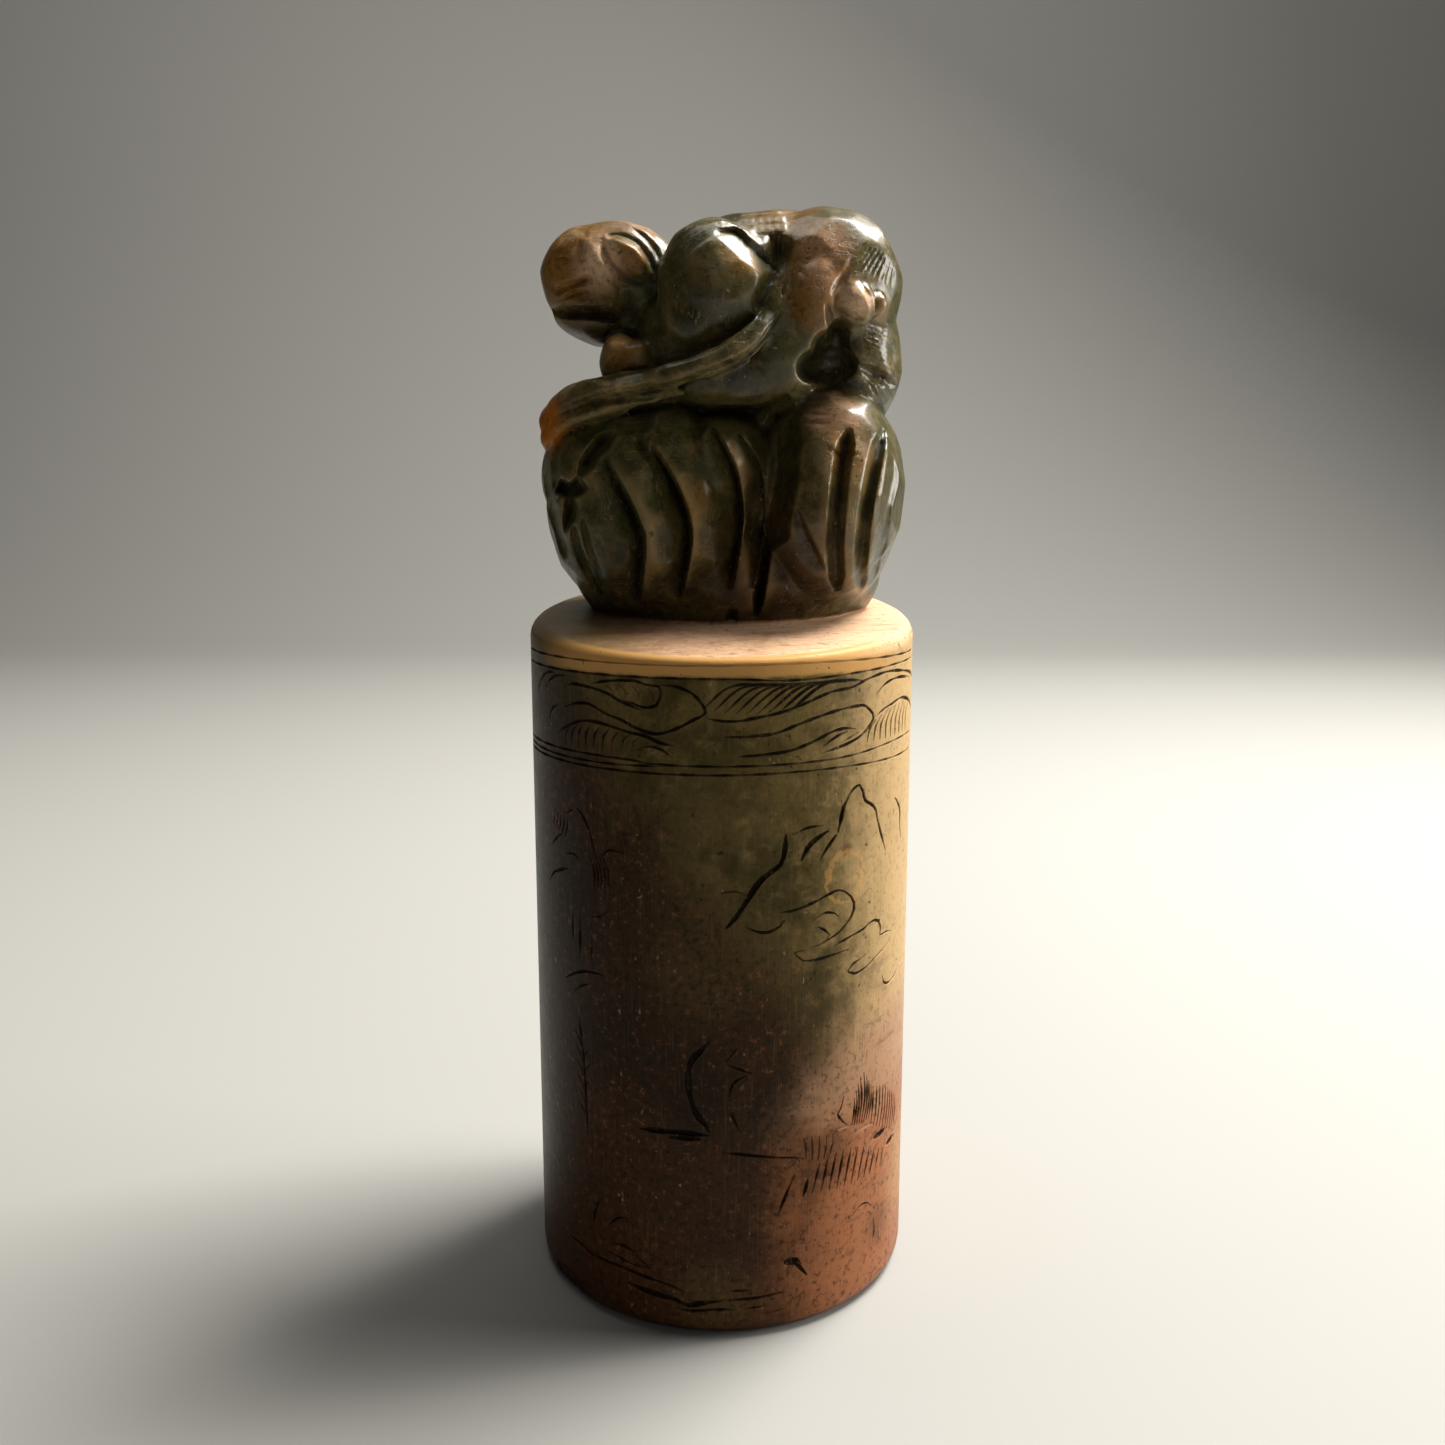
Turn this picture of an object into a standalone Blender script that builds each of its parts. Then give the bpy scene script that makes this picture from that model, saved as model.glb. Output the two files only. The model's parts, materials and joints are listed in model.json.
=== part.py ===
"""A round soapstone seal whose knob is a beast crouched on two ribbed fruit, all one stone.

The column is lofted ring by ring up to a sloping ledge. The knob is built up from rounded masses,
hollowed, fused to one skin and softened, then its ribs, face and folds are cut into that skin.
Lengths are in millimetres: x to the right, y away from the front, z up from the seal's flat face.
The finished stone is scaled to metres.
"""
import math

import bmesh
import bpy
import numpy as np
from mathutils import Euler, Matrix, Vector
from mathutils.bvhtree import BVHTree

MM = 0.001

# Column
COLUMN_RADIUS = 15.0
COLUMN_SIDES = 80
FOOT_ROUND = 1.3
FOOT_STEPS = 3
RING_LINES = (42.75, 43.5, 49.35)
RING_WIDTH = 0.4
RING_DEPTH = 0.2
LEDGE_HEIGHT = 52.6
LEDGE_SLOPE = 0.127
RIM_ROUND_FRONT = 0.35
RIM_ROUND_SIDES = 1.2
RIM_STEPS = 3

# Knob
SKIN_STEP = 0.38
SOFTENING = 4
CUT_SOFTENING = 1
SMOOTHING = 0.5
KNOB_TRIANGLES = 6800
PATH_STEP = 0.4
LUMP_ROUNDS = 4
LIMB_ROUNDS = 3

# How cuts sink into the knob
EYE_DISTANCE = 102.3
EYE_HEIGHT = 61.0
FRONT_EYE = Vector((0.0, -EYE_DISTANCE, EYE_HEIGHT))
BACK_EYE = Vector((0.0, EYE_DISTANCE, EYE_HEIGHT))
EDGE_ON = 0.05
FULL_DEPTH_FACING = 0.35
SIGHT_BLEND = 4
END_FADES = {"groove": 1.0, "left_step": 2.5}
STEEP_WALL = 0.5
SLOPE_POWER = 1.1
GROOVE_POWER = 1.5

SHARP_ANGLE = 40
STONE_COLOUR = (0.21, 0.15, 0.08, 1.0)
STONE_ROUGHNESS = 0.32

# Rounded masses of the knob: centre, half sizes, turn in degrees
FRUIT = {
    "left_fruit": ((-4.9, 1.5, 60.6), (8.9, 8.8, 9.0), (0, -6, 0)),
    "left_fruit_shoulder": ((-8.7, 2.6, 63.4), (5.6, 7.0, 5.4), (0, 0, 0)),
    "left_fruit_crown": ((0.1, 0.4, 63.9), (3.9, 7.0, 4.9), (0, 0, 0)),
    "right_fruit": ((8.0, 1.2, 61.6), (6.3, 8.6, 9.1), (0, 5, 0)),
    "foot": ((0.5, 3.0, 55.6), (12.4, 8.0, 6.2), (0, 0, 0)),
}
BEAST = {
    "skull": ((-7.9, 2.2, 78.7), (5.0, 4.2, 4.0), (0, 4, 0)),
    "muzzle": ((-10.8, 2.0, 78.5), (3.25, 3.4, 3.7), (0, 0, 0)),
    "jaw": ((-9.7, 2.0, 75.6), (3.5, 2.9, 2.3), (0, 16, 0)),
    "eye": ((-6.9, -1.6, 79.6), (1.6, 0.9, 0.9), (0, 42, 0)),
    "neck": ((-4.4, 3.4, 75.4), (4.6, 4.4, 5.6), (0, 20, 0)),
    "shoulder": ((-0.5, -1.9, 77.3), (4.4, 4.3, 4.9), (-14, 0, 0)),
    "far_shoulder": ((-1.0, 5.4, 77.0), (4.4, 4.0, 4.9), (0, 0, 0)),
    "chest": ((-1.3, 2.0, 72.5), (6.2, 6.4, 6.0), (0, 0, 0)),
    "back": ((3.6, 1.8, 77.2), (8.0, 5.8, 6.0), (0, -2, 0)),
    "ridge": ((3.2, 1.3, 79.9), (7.0, 3.8, 3.35), (0, -3, 0)),
    "haunch": ((8.0, 0.8, 77.4), (5.8, 5.5, 5.95), (0, 0, 0)),
    "thigh": ((6.7, -1.2, 75.3), (2.8, 4.4, 5.6), (0, 14, 0)),
    "far_haunch": ((8.4, 5.0, 74.6), (4.9, 4.4, 6.2), (0, 0, 0)),
    "rump": ((10.5, 2.4, 72.2), (3.6, 5.4, 5.4), (0, 0, 0)),
    "flank": ((4.4, -0.8, 72.8), (3.4, 4.6, 5.4), (0, 0, 0)),
    "lap": ((0.6, 0.0, 70.6), (5.6, 5.4, 3.4), (0, 0, 0)),
    "belly": ((3.0, 2.6, 70.2), (8.0, 5.8, 4.6), (0, 0, 0)),
    "upper_arm": ((-2.0, -1.8, 75.0), (3.0, 3.9, 3.4), (0, 0, 0)),
    "paw": ((-7.7, -1.4, 71.6), (1.6, 2.2, 2.35), (0, 8, 0)),
    "paw_back": ((-6.3, -1.8, 71.9), (1.6, 2.0, 1.6), (0, 10, 0)),
    "hind_toe": ((9.7, -4.4, 75.3), (1.15, 0.9, 1.5), (0, -14, 0)),
    "toe_side": ((11.2, -3.7, 75.6), (0.95, 0.7, 0.75), (0, 0, 0)),
}

# Limbs: stations along each one, x, y, z and radius
LIMBS = {
    "near_limb": (
        (4.6, -3.0, 79.7, 0.6),
        (4.6, -4.0, 77.7, 0.7),
        (3.8, -5.0, 75.5, 0.8),
        (2.6, -5.8, 73.5, 0.85),
        (0.6, -6.3, 71.8, 0.9),
        (-2.3, -6.3, 70.7, 0.9),
        (-5.3, -5.6, 70.0, 1.0),
        (-8.3, -4.2, 69.5, 1.2),
        (-11.0, -1.8, 68.8, 1.4),
        (-12.5, 1.2, 67.4, 1.9),
    ),
    "under_fold": (
        (-1.1, -5.2, 69.5, 0.6),
        (-4.1, -5.4, 69.2, 0.75),
        (-6.2, -5.0, 68.9, 0.9),
        (-9.0, -3.4, 68.2, 1.3),
        (-11.4, -1.6, 67.6, 1.3),
        (-12.6, 0.0, 66.4, 1.5),
    ),
}

# Hollows cut out of the masses: centre, half sizes, turn in degrees
HOLLOWS = {
    "cave_under_haunch": ((7.9, -5.6, 71.2), (2.3, 4.8, 1.5), (0, 0, 0)),
    "cave_top": ((8.2, -5.4, 72.4), (1.3, 4.0, 1.6), (0, 0, 0)),
}

# Cuts, as seen from FRONT_EYE on the plane through the column's axis: profile, half width, depth
# and the x, z points along the cut. A left_step is a slope whose steep wall is on its right.
FRONT_CUTS = (
    ("left_step", 1.8, 1.5, ((-9.3, 65.0), (-7.4, 61.6), (-6.6, 59.8), (-6.2, 58.0), (-6.7, 53.4))),
    ("left_step", 1.9, 1.6, ((-5.6, 65.7), (-3.3, 61.8), (-2.7, 60.0), (-2.6, 58.0), (-3.4, 53.8))),
    ("left_step", 1.6, 1.4, ((-1.0, 67.5), (0.3, 65.2), (1.0, 63.6), (1.4, 61.4), (1.4, 59.2), (0.6, 54.6))),
    ("left_step", 1.0, 1.1, ((0.5, 67.5), (1.8, 65.7), (2.8, 64.2), (3.2, 62.4), (3.2, 59.6), (2.4, 54.6))),
    ("groove", 1.9, 1.9, ((4.6, 69.4), (4.5, 66.0), (4.3, 63.0), (3.9, 60.0), (3.4, 57.0), (2.8, 52.4))),
    ("groove", 0.9, 1.2, ((-8.2, 66.7), (-9.3, 65.8), (-11.6, 62.6), (-11.9, 60.6), (-12.3, 59.0))),
    ("groove", 0.8, 0.8, ((-13.2, 66.0), (-13.7, 63.6), (-13.5, 61.6), (-12.9, 59.2), (-12.2, 57.0))),
    ("groove", 0.8, 0.8, ((-11.7, 59.8), (-11.2, 57.6), (-10.4, 55.8), (-9.2, 53.8))),
    ("groove", 0.9, 0.8, ((9.8, 66.8), (9.25, 64.4), (9.0, 62.0), (8.85, 59.6), (8.9, 57.4), (9.1, 54.8))),
    ("groove", 0.8, 0.8, ((12.4, 66.9), (11.8, 64.0), (11.3, 61.0), (11.0, 58.0), (10.9, 54.7))),
    ("left_step", 1.6, 1.1, ((5.6, 61.2), (6.9, 58.2), (8.2, 55.7))),
    ("groove", 1.3, 0.9, ((3.7, 81.3), (4.3, 80.0), (4.4, 78.4), (3.8, 76.6), (2.7, 74.9))),
    ("groove", 0.8, 0.6, ((3.6, 76.2), (2.2, 74.5), (-0.6, 73.0), (-4.6, 71.8), (-6.0, 71.4))),
    ("groove", 0.7, 0.7, ((5.3, 80.6), (5.2, 77.7), (4.3, 75.6), (1.5, 72.2), (-4.4, 70.1), (-11.0, 68.6))),
    ("left_step", 3.0, 2.2, ((-3.6, 69.0), (-1.3, 68.4), (0.4, 68.4), (3.0, 68.5), (5.2, 69.4))),
    ("groove", 0.8, 0.8, ((-3.2, 68.8), (-6.5, 68.3), (-9.3, 67.6), (-11.6, 66.7), (-13.2, 65.5))),
    ("groove", 0.7, 0.9, ((10.5, 71.6), (11.8, 71.0), (13.4, 70.1))),
    ("groove", 0.7, 0.9, ((-13.3, 75.8), (-11.6, 75.6), (-9.6, 75.5), (-7.4, 75.0))),
    ("groove", 0.5, 0.5, ((-12.7, 77.1), (-11.4, 77.6), (-9.9, 78.1))),
    ("groove", 0.7, 0.7, ((-9.0, 81.0), (-8.6, 79.6), (-7.6, 78.5), (-6.4, 77.9), (-5.0, 77.9))),
    ("groove", 0.6, 0.5, ((-8.7, 81.2), (-7.4, 81.0), (-6.3, 80.4), (-5.5, 79.5), (-5.1, 78.4))),
)

# Ribs on the far side of a fruit: angles round its upright axis, from +X through +Y
BACK_RIBS = {"left_fruit": (62, 84, 106, 128, 150), "right_fruit": (34, 56, 78, 100)}
RIB_HALF_WIDTH = 1.1
RIB_DEPTH = 0.8
RIB_REACH = 62

BACK_CUTS = (
    ("groove", 1.0, 1.2, ((3.4, 69.0), (3.6, 64.0), (3.4, 58.0), (2.6, 53.6))),
    ("groove", 1.0, 0.9, ((3.2, 82.0), (4.0, 79.0), (3.4, 75.6), (0.0, 72.6), (-5.0, 70.6))),
    ("groove", 0.8, 0.7, ((12.6, 70.6), (8.0, 69.4), (3.0, 69.2), (-3.0, 68.6), (-10.0, 68.4))),
    ("groove", 0.6, 0.6, ((-13.2, 75.7), (-10.6, 75.9), (-7.4, 75.2))),
)


def clear_scene():
    for item in list(bpy.data.objects):
        bpy.data.objects.remove(item, do_unlink=True)


def smooth_path(stations, step):
    """Points about step apart on a smooth curve through the stations, whatever their size."""
    knots = [np.array(station, float) for station in stations]
    knots = [2 * knots[0] - knots[1]] + knots + [2 * knots[-1] - knots[-2]]
    points = []
    for before, start, end, after in zip(knots, knots[1:], knots[2:], knots[3:]):
        count = max(1, round(float(np.linalg.norm((end - start)[:3])) / step))
        for share in np.arange(count) / count:
            bend = (2 * before - 5 * start + 4 * end - after) * share**2
            twist = (3 * start - before - 3 * end + after) * share**3
            points.append(0.5 * (2 * start + (end - before) * share + bend + twist))
    points.append(knots[-2])
    return points


def add_lump(form, centre, half_sizes, turn=(0, 0, 0), rounds=LUMP_ROUNDS):
    tilt = Euler([math.radians(angle) for angle in turn]).to_matrix().to_4x4()
    place = Matrix.Translation(centre) @ tilt @ Matrix.Diagonal((*half_sizes, 1.0))
    bmesh.ops.create_icosphere(form, subdivisions=rounds, radius=1.0, matrix=place)


def add_limb(form, stations):
    for x, y, z, radius in smooth_path(stations, PATH_STEP):
        add_lump(form, (x, y, z), (radius, radius, radius), rounds=LIMB_ROUNDS)


def new_object(name, form):
    mesh = bpy.data.meshes.new(name)
    form.to_mesh(mesh)
    form.free()
    item = bpy.data.objects.new(name, mesh)
    bpy.context.scene.collection.objects.link(item)
    return item


def settle(item):
    """Give the object the mesh that its modifiers make, and drop the modifiers."""
    bpy.context.view_layer.update()
    graph = bpy.context.evaluated_depsgraph_get()
    mesh = bpy.data.meshes.new_from_object(item.evaluated_get(graph))
    item.modifiers.clear()
    item.data = mesh


def combine(item, other, operation):
    boolean = item.modifiers.new("combine", "BOOLEAN")
    boolean.operation = operation
    boolean.object = other
    settle(item)
    bpy.data.objects.remove(other, do_unlink=True)


def fuse(item):
    remesh = item.modifiers.new("skin", "REMESH")
    remesh.mode = "VOXEL"
    remesh.voxel_size = SKIN_STEP
    settle(item)


def soften(item, rounds):
    smooth = item.modifiers.new("soften", "SMOOTH")
    smooth.factor = SMOOTHING
    smooth.iterations = rounds
    settle(item)


def mesh_array(items, field):
    values = np.empty(len(items) * 3)
    items.foreach_get(field, values)
    return values.reshape(-1, 3)


def in_sight(mesh, points, eye):
    """True for each point of the skin that nothing hides from the eye."""
    tree = BVHTree.FromPolygons(points.tolist(), [tuple(face.vertices) for face in mesh.polygons])
    seen = []
    for point in points:
        ray = Vector(point) - eye
        hit = tree.ray_cast(eye, ray.normalized())
        seen.append(hit[3] is None or hit[3] > ray.length - SKIN_STEP)
    return np.array(seen)


def even_out(mesh, values, rounds):
    """Average a value per vertex with its neighbours' values, a number of times."""
    edges = np.empty(len(mesh.edges) * 2, int)
    mesh.edges.foreach_get("vertices", edges)
    first, second = edges.reshape(-1, 2).T
    joined = np.bincount(edges, minlength=len(values))
    for _ in range(rounds):
        total = np.bincount(first, values[second], len(values))
        total += np.bincount(second, values[first], len(values))
        values = (values + total / joined) / 2
    return values


def on_view_plane(points, eye):
    """Where points appear from the eye on the plane y = 0, as x and z."""
    spread = eye.y / (eye.y - points[:, 1])
    return np.stack((points[:, 0] * spread, eye.z + (points[:, 2] - eye.z) * spread), axis=1)


def cut_depth(profile, half_width, depth, stations, spots):
    """Depth at each spot of one cut, whose line runs through the stations."""
    line = np.array(smooth_path(stations, PATH_STEP))
    start, run = line[:-1], np.diff(line, axis=0)
    reach = spots[:, None, :] - start
    share = np.clip((reach * run).sum(2) / (run**2).sum(1), 0, 1)
    away = np.linalg.norm(reach - share[..., None] * run, axis=2)
    nearest = away.argmin(axis=1)
    rows = np.arange(len(spots))
    gap = away[rows, nearest]
    across = run[nearest, 0] * reach[rows, nearest, 1] - run[nearest, 1] * reach[rows, nearest, 0]
    if profile == "left_step":
        slope = np.clip(1 - gap / half_width, 0, 1) ** SLOPE_POWER
        wall = np.clip(1 - gap / STEEP_WALL, 0, 1)
        shape = np.where(across < 0, slope, wall)
    else:
        shape = np.clip(1 - (gap / half_width) ** 2, 0, 1) ** GROOVE_POWER
    along = (nearest + share[rows, nearest]) / len(run)
    length = np.linalg.norm(run, axis=1).sum()
    fade = np.clip(np.minimum(along, 1 - along) * length / END_FADES[profile], 0, 1)
    return depth * shape * fade


def carve(knob, cuts, eye):
    """Sink each cut straight back into the side of the skin that faces the eye."""
    mesh = knob.data
    points = mesh_array(mesh.vertices, "co")
    normals = mesh_array(mesh.vertex_normals, "vector")
    sight = np.array(eye) - points
    facing = (normals * sight).sum(1) / np.linalg.norm(sight, axis=1)
    share = np.clip((facing - EDGE_ON) / (FULL_DEPTH_FACING - EDGE_ON), 0, 1)
    share *= in_sight(mesh, points, eye)
    share = even_out(mesh, share, SIGHT_BLEND)
    away = -sight / np.linalg.norm(sight, axis=1)[:, None]
    spots = on_view_plane(points, eye)
    depth = np.zeros(len(points))
    for cut in cuts:
        depth = np.maximum(depth, cut_depth(*cut, spots))
    points += away * (depth * share)[:, None]
    mesh.vertices.foreach_set("co", points.ravel())
    mesh.update()


def rib_cuts():
    """The grooves between the ribs on the far side of both fruit."""
    cuts = []
    for name, angles in BACK_RIBS.items():
        centre, half_sizes, _ = FRUIT[name]
        for angle in angles:
            line = []
            for tilt in range(-RIB_REACH, RIB_REACH + 1, RIB_REACH // 4):
                flat = math.cos(math.radians(tilt))
                way = (flat * math.cos(math.radians(angle)), flat * math.sin(math.radians(angle)),
                       math.sin(math.radians(tilt)))
                line.append([middle + half * part for middle, half, part in zip(centre, half_sizes, way)])
            seen = on_view_plane(np.array(line), BACK_EYE)
            cuts.append(("groove", RIB_HALF_WIDTH, RIB_DEPTH, seen.tolist()))
    return cuts


def ledge_height(y):
    return LEDGE_HEIGHT + LEDGE_SLOPE * y


def rim_round(angle):
    return RIM_ROUND_FRONT + (RIM_ROUND_SIDES - RIM_ROUND_FRONT) * math.cos(angle) ** 2


def column_rings():
    """Each ring of the column as a function from an angle to a radius and a height."""
    rings = []
    for step in range(FOOT_STEPS + 1):
        turn = math.pi / 2 * step / FOOT_STEPS
        radius = COLUMN_RADIUS - FOOT_ROUND * (1 - math.sin(turn))
        height = FOOT_ROUND * (1 - math.cos(turn))
        rings.append(lambda angle, r=radius, z=height: (r, z))
    for line in RING_LINES:
        for offset, depth in ((-RING_WIDTH / 2, 0), (0, RING_DEPTH), (RING_WIDTH / 2, 0)):
            rings.append(lambda angle, r=COLUMN_RADIUS - depth, z=line + offset: (r, z))
    for step in range(RIM_STEPS + 1):
        turn = math.pi / 2 * step / RIM_STEPS

        def rim(angle, turn=turn):
            size = rim_round(angle)
            radius = COLUMN_RADIUS - size * (1 - math.cos(turn))
            return radius, ledge_height(radius * math.sin(angle)) - size * (1 - math.sin(turn))

        rings.append(rim)
    return rings


def make_column():
    form = bmesh.new()
    loops = []
    for ring in column_rings():
        loop = []
        for side in range(COLUMN_SIDES):
            angle = 2 * math.pi * side / COLUMN_SIDES
            radius, height = ring(angle)
            loop.append(form.verts.new((radius * math.cos(angle), radius * math.sin(angle), height)))
        loops.append(loop)
    for lower, upper in zip(loops, loops[1:]):
        for side in range(COLUMN_SIDES):
            ahead = (side + 1) % COLUMN_SIDES
            form.faces.new((lower[side], lower[ahead], upper[ahead], upper[side]))
    form.faces.new(reversed(loops[0]))
    form.faces.new(loops[-1])
    return new_object("seal", form)


def make_knob():
    form = bmesh.new()
    for centre, half_sizes, turn in (*FRUIT.values(), *BEAST.values()):
        add_lump(form, centre, half_sizes, turn)
    for stations in LIMBS.values():
        add_limb(form, stations)
    knob = new_object("knob", form)
    fuse(knob)
    for name, hollow in HOLLOWS.items():
        form = bmesh.new()
        add_lump(form, *hollow)
        combine(knob, new_object(name, form), "DIFFERENCE")
    fuse(knob)
    soften(knob, SOFTENING)
    carve(knob, FRONT_CUTS, FRONT_EYE)
    carve(knob, (*BACK_CUTS, *rib_cuts()), BACK_EYE)
    soften(knob, CUT_SOFTENING)
    thin = knob.modifiers.new("thin", "DECIMATE")
    thin.ratio = KNOB_TRIANGLES / sum(len(face.vertices) - 2 for face in knob.data.polygons)
    settle(knob)
    return knob


def stone():
    material = bpy.data.materials.new("stone")
    material.use_nodes = True
    shader = material.node_tree.nodes["Principled BSDF"]
    shader.inputs["Base Color"].default_value = STONE_COLOUR
    shader.inputs["Roughness"].default_value = STONE_ROUGHNESS
    shader.inputs["Metallic"].default_value = 0.0
    return material


def make_seal():
    seal = make_column()
    combine(seal, make_knob(), "UNION")
    seal.data.transform(Matrix.Scale(MM, 4))
    seal.data.materials.clear()
    seal.data.materials.append(stone())
    seal.data.shade_smooth()
    seal.data.set_sharp_from_angle(angle=math.radians(SHARP_ANGLE))
    return seal


clear_scene()
make_seal()
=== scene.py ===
import json
import math
from contextlib import contextmanager

import bpy
import numpy as np
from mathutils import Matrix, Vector
from mathutils.bvhtree import BVHTree

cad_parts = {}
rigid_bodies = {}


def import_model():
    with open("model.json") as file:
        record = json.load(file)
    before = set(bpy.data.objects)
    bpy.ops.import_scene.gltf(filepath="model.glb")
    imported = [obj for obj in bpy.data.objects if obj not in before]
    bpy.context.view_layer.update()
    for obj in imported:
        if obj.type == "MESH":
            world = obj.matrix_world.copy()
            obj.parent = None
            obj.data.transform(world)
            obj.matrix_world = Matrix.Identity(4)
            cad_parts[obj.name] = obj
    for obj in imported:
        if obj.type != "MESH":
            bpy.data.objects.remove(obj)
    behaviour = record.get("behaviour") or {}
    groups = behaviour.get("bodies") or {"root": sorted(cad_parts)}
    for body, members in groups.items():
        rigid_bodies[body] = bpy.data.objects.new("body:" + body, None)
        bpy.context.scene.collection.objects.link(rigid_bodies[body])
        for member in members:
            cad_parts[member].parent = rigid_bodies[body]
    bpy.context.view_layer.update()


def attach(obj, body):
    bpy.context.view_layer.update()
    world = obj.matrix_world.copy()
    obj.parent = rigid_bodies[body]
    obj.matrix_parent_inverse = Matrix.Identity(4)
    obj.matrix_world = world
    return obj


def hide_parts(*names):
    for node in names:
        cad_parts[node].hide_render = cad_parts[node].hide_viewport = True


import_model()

# A round soapstone seal. Its knob is a beast crouched on two ribbed fruit, and its column is engraved
# with a band of leaves and waves over a landscape. Sizes are in millimetres until the stone is done.
MM = 0.001

# Column: the ledge's height is at the axis, and its slope is the rise towards the back
COLUMN_RADIUS = 15.0
COLUMN_SIDES = 192
COLUMN_ROWS = 36
FOOT_ROUND = 1.3
LEDGE_HEIGHT = 52.6
LEDGE_SLOPE = 0.127
RIM_ROUND_FRONT = 0.35
RIM_ROUND_SIDES = 1.2
ROUND_STEPS = 5

# Knob: the step of its skin, and rounds of smoothing before and after the cuts
SKIN_STEP = 0.15
SOFTENING = 13
CUT_SOFTENING = 2
# Scoops of the blade: width, depth, and the height in their pattern where the skin stays put
SCOOP_SIZE = 2.6
SCOOP_DEPTH = 0.4
SCOOP_REST = 0.7
# Cuts fade out where the skin turns edge-on to the eye that they are seen from
EDGE_ON = 0.05
FACING_FADE = 0.3
SIGHT_BLEND = 7
# Rounds of averaging that tell a hollow from the skin around it
HOLLOW_REACH = 120
# The skin is thinned out at the end, most of all on its far side
KNOB_TRIANGLES = 114000
FAR_SIDE = 2.5
NEAR_SIDE_WEIGHT = 0.5
NEAR_SIDE_CARE = 0.01
PATH_STEP = 0.4
STRAND_POINTS = 9
# Where the front cuts and the back cuts are seen from, the first of them also the camera's place
EYE_HEIGHT = 61.0
EYE_DISTANCE = 102.3
FRONT_EYE = Vector((0.0, -EYE_DISTANCE, EYE_HEIGHT))
BACK_EYE = Vector((0.0, EYE_DISTANCE, EYE_HEIGHT))

# Rounded masses of the knob: centre, half sizes and, where it leans, its turn in degrees
FRUIT = {
    "left_fruit": ((-4.9, 1.5, 60.6), (8.9, 8.8, 9), (0, -6, 0)),
    "left_fruit_shoulder": ((-8.7, 2.6, 63.4), (5.6, 7, 5.4)),
    "left_fruit_crown": ((0.1, 0.4, 63.9), (3.9, 7, 4.9)),
    "right_fruit": ((8, 1.2, 61.6), (6.3, 8.6, 9.1), (0, 5, 0)),
    "foot": ((0.5, 3, 55.6), (12.4, 8, 6.2)),
}
BEAST = {
    "skull": ((-7.9, 2.2, 78.7), (5, 4.2, 4), (0, 4, 0)),
    "muzzle": ((-10.8, 2, 78.5), (3.25, 3.4, 3.7)),
    "jaw": ((-9.7, 2, 75.6), (3.5, 2.9, 2.3), (0, 16, 0)),
    "eye": ((-6.9, -1.6, 79.6), (1.6, 0.9, 0.9), (0, 42, 0)),
    "neck": ((-4.4, 3.4, 75.4), (4.6, 4.4, 5.6), (0, 20, 0)),
    "shoulder": ((-0.5, -1.9, 77.3), (4.4, 4.3, 4.9), (-14, 0, 0)),
    "far_shoulder": ((-1, 5.4, 77), (4.4, 4, 4.9)),
    "chest": ((-1.3, 2, 72.5), (6.2, 6.4, 6)),
    "back": ((3.6, 1.8, 77.2), (8, 5.8, 6), (0, -2, 0)),
    "ridge": ((3.2, 1.3, 79.9), (7, 3.8, 3.35), (0, -3, 0)),
    "haunch": ((8, 0.8, 77.4), (5.8, 5.5, 5.95)),
    "thigh": ((6.7, -1.2, 75.3), (2.8, 4.4, 5.6), (0, 14, 0)),
    "far_haunch": ((8.4, 5, 74.6), (4.9, 4.4, 6.2)),
    "rump": ((10.5, 2.4, 72.2), (3.6, 5.4, 5.4)),
    "flank": ((4.4, -0.8, 72.8), (3.4, 4.6, 5.4)),
    "lap": ((0.6, 0, 70.6), (5.6, 5.4, 3.4)),
    "belly": ((3, 2.6, 70.2), (8, 5.8, 4.6)),
    "upper_arm": ((-2, -1.8, 75), (3, 3.9, 3.4)),
    "paw": ((-7.7, -1.4, 71.6), (1.6, 2.2, 2.35), (0, 8, 0)),
    "paw_back": ((-6.3, -1.8, 71.9), (1.6, 2, 1.6), (0, 10, 0)),
    "hind_toe": ((9.8, -4, 75.6), (1.5, 1.1, 1.7), (0, -14, 0)),
    "toe_side": ((11.3, -3.3, 75.7), (1.1, 0.8, 1)),
}

# Limbs: stations along each one, x, y, z and radius
LIMBS = {
    "near_limb": (
        (4.6, -2.6, 79.7, 0.7), (4.6, -3.6, 77.7, 0.8), (3.8, -4.6, 75.5, 0.9),
        (2.6, -5.4, 73.5, 0.95), (0.6, -5.9, 71.8, 1), (-2.3, -5.9, 70.7, 1), (-5.3, -5.2, 70, 1),
        (-8.3, -3.9, 69.5, 1.1), (-11, -1.7, 68.8, 1.45), (-12.5, 1.2, 67.4, 1.9),
    ),
    "under_fold": (
        (-3, -4.5, 69.3, 0.4), (-4.6, -4.8, 69.1, 0.6), (-6.4, -4.5, 68.8, 0.8),
        (-9, -3.2, 68.2, 1), (-11.4, -1.6, 67.6, 1.2), (-12.6, 0, 66.4, 1.5),
    ),
}
HOLLOWS = {
    "cave_under_haunch": ((8.1, -5.8, 71.3), (2.75, 5, 1.6), (0, -8, 0)),
    "cave_middle": ((8.3, -5.7, 72.2), (1.9, 4.8, 1.6)),
    "cave_top": ((8.6, -5.4, 73.1), (1.1, 3.9, 1.5), (0, 10, 0)),
}

# Cuts in the knob, as seen from the front on the plane through the column's axis: profile, half
# width, depth and x, z points along the cut. A left_step slopes down to a steep wall on its right,
# a bank falls away from its line to the right, and a negative depth raises a ridge.
END_FADES = {"groove": 1.2, "scratch": 0.6, "gouge": 0.3, "left_step": 4, "bank": 1}
NARROW_END = 0.35
STEEP_WALL = 0.3
SLOPE_POWER = 1.5

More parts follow.
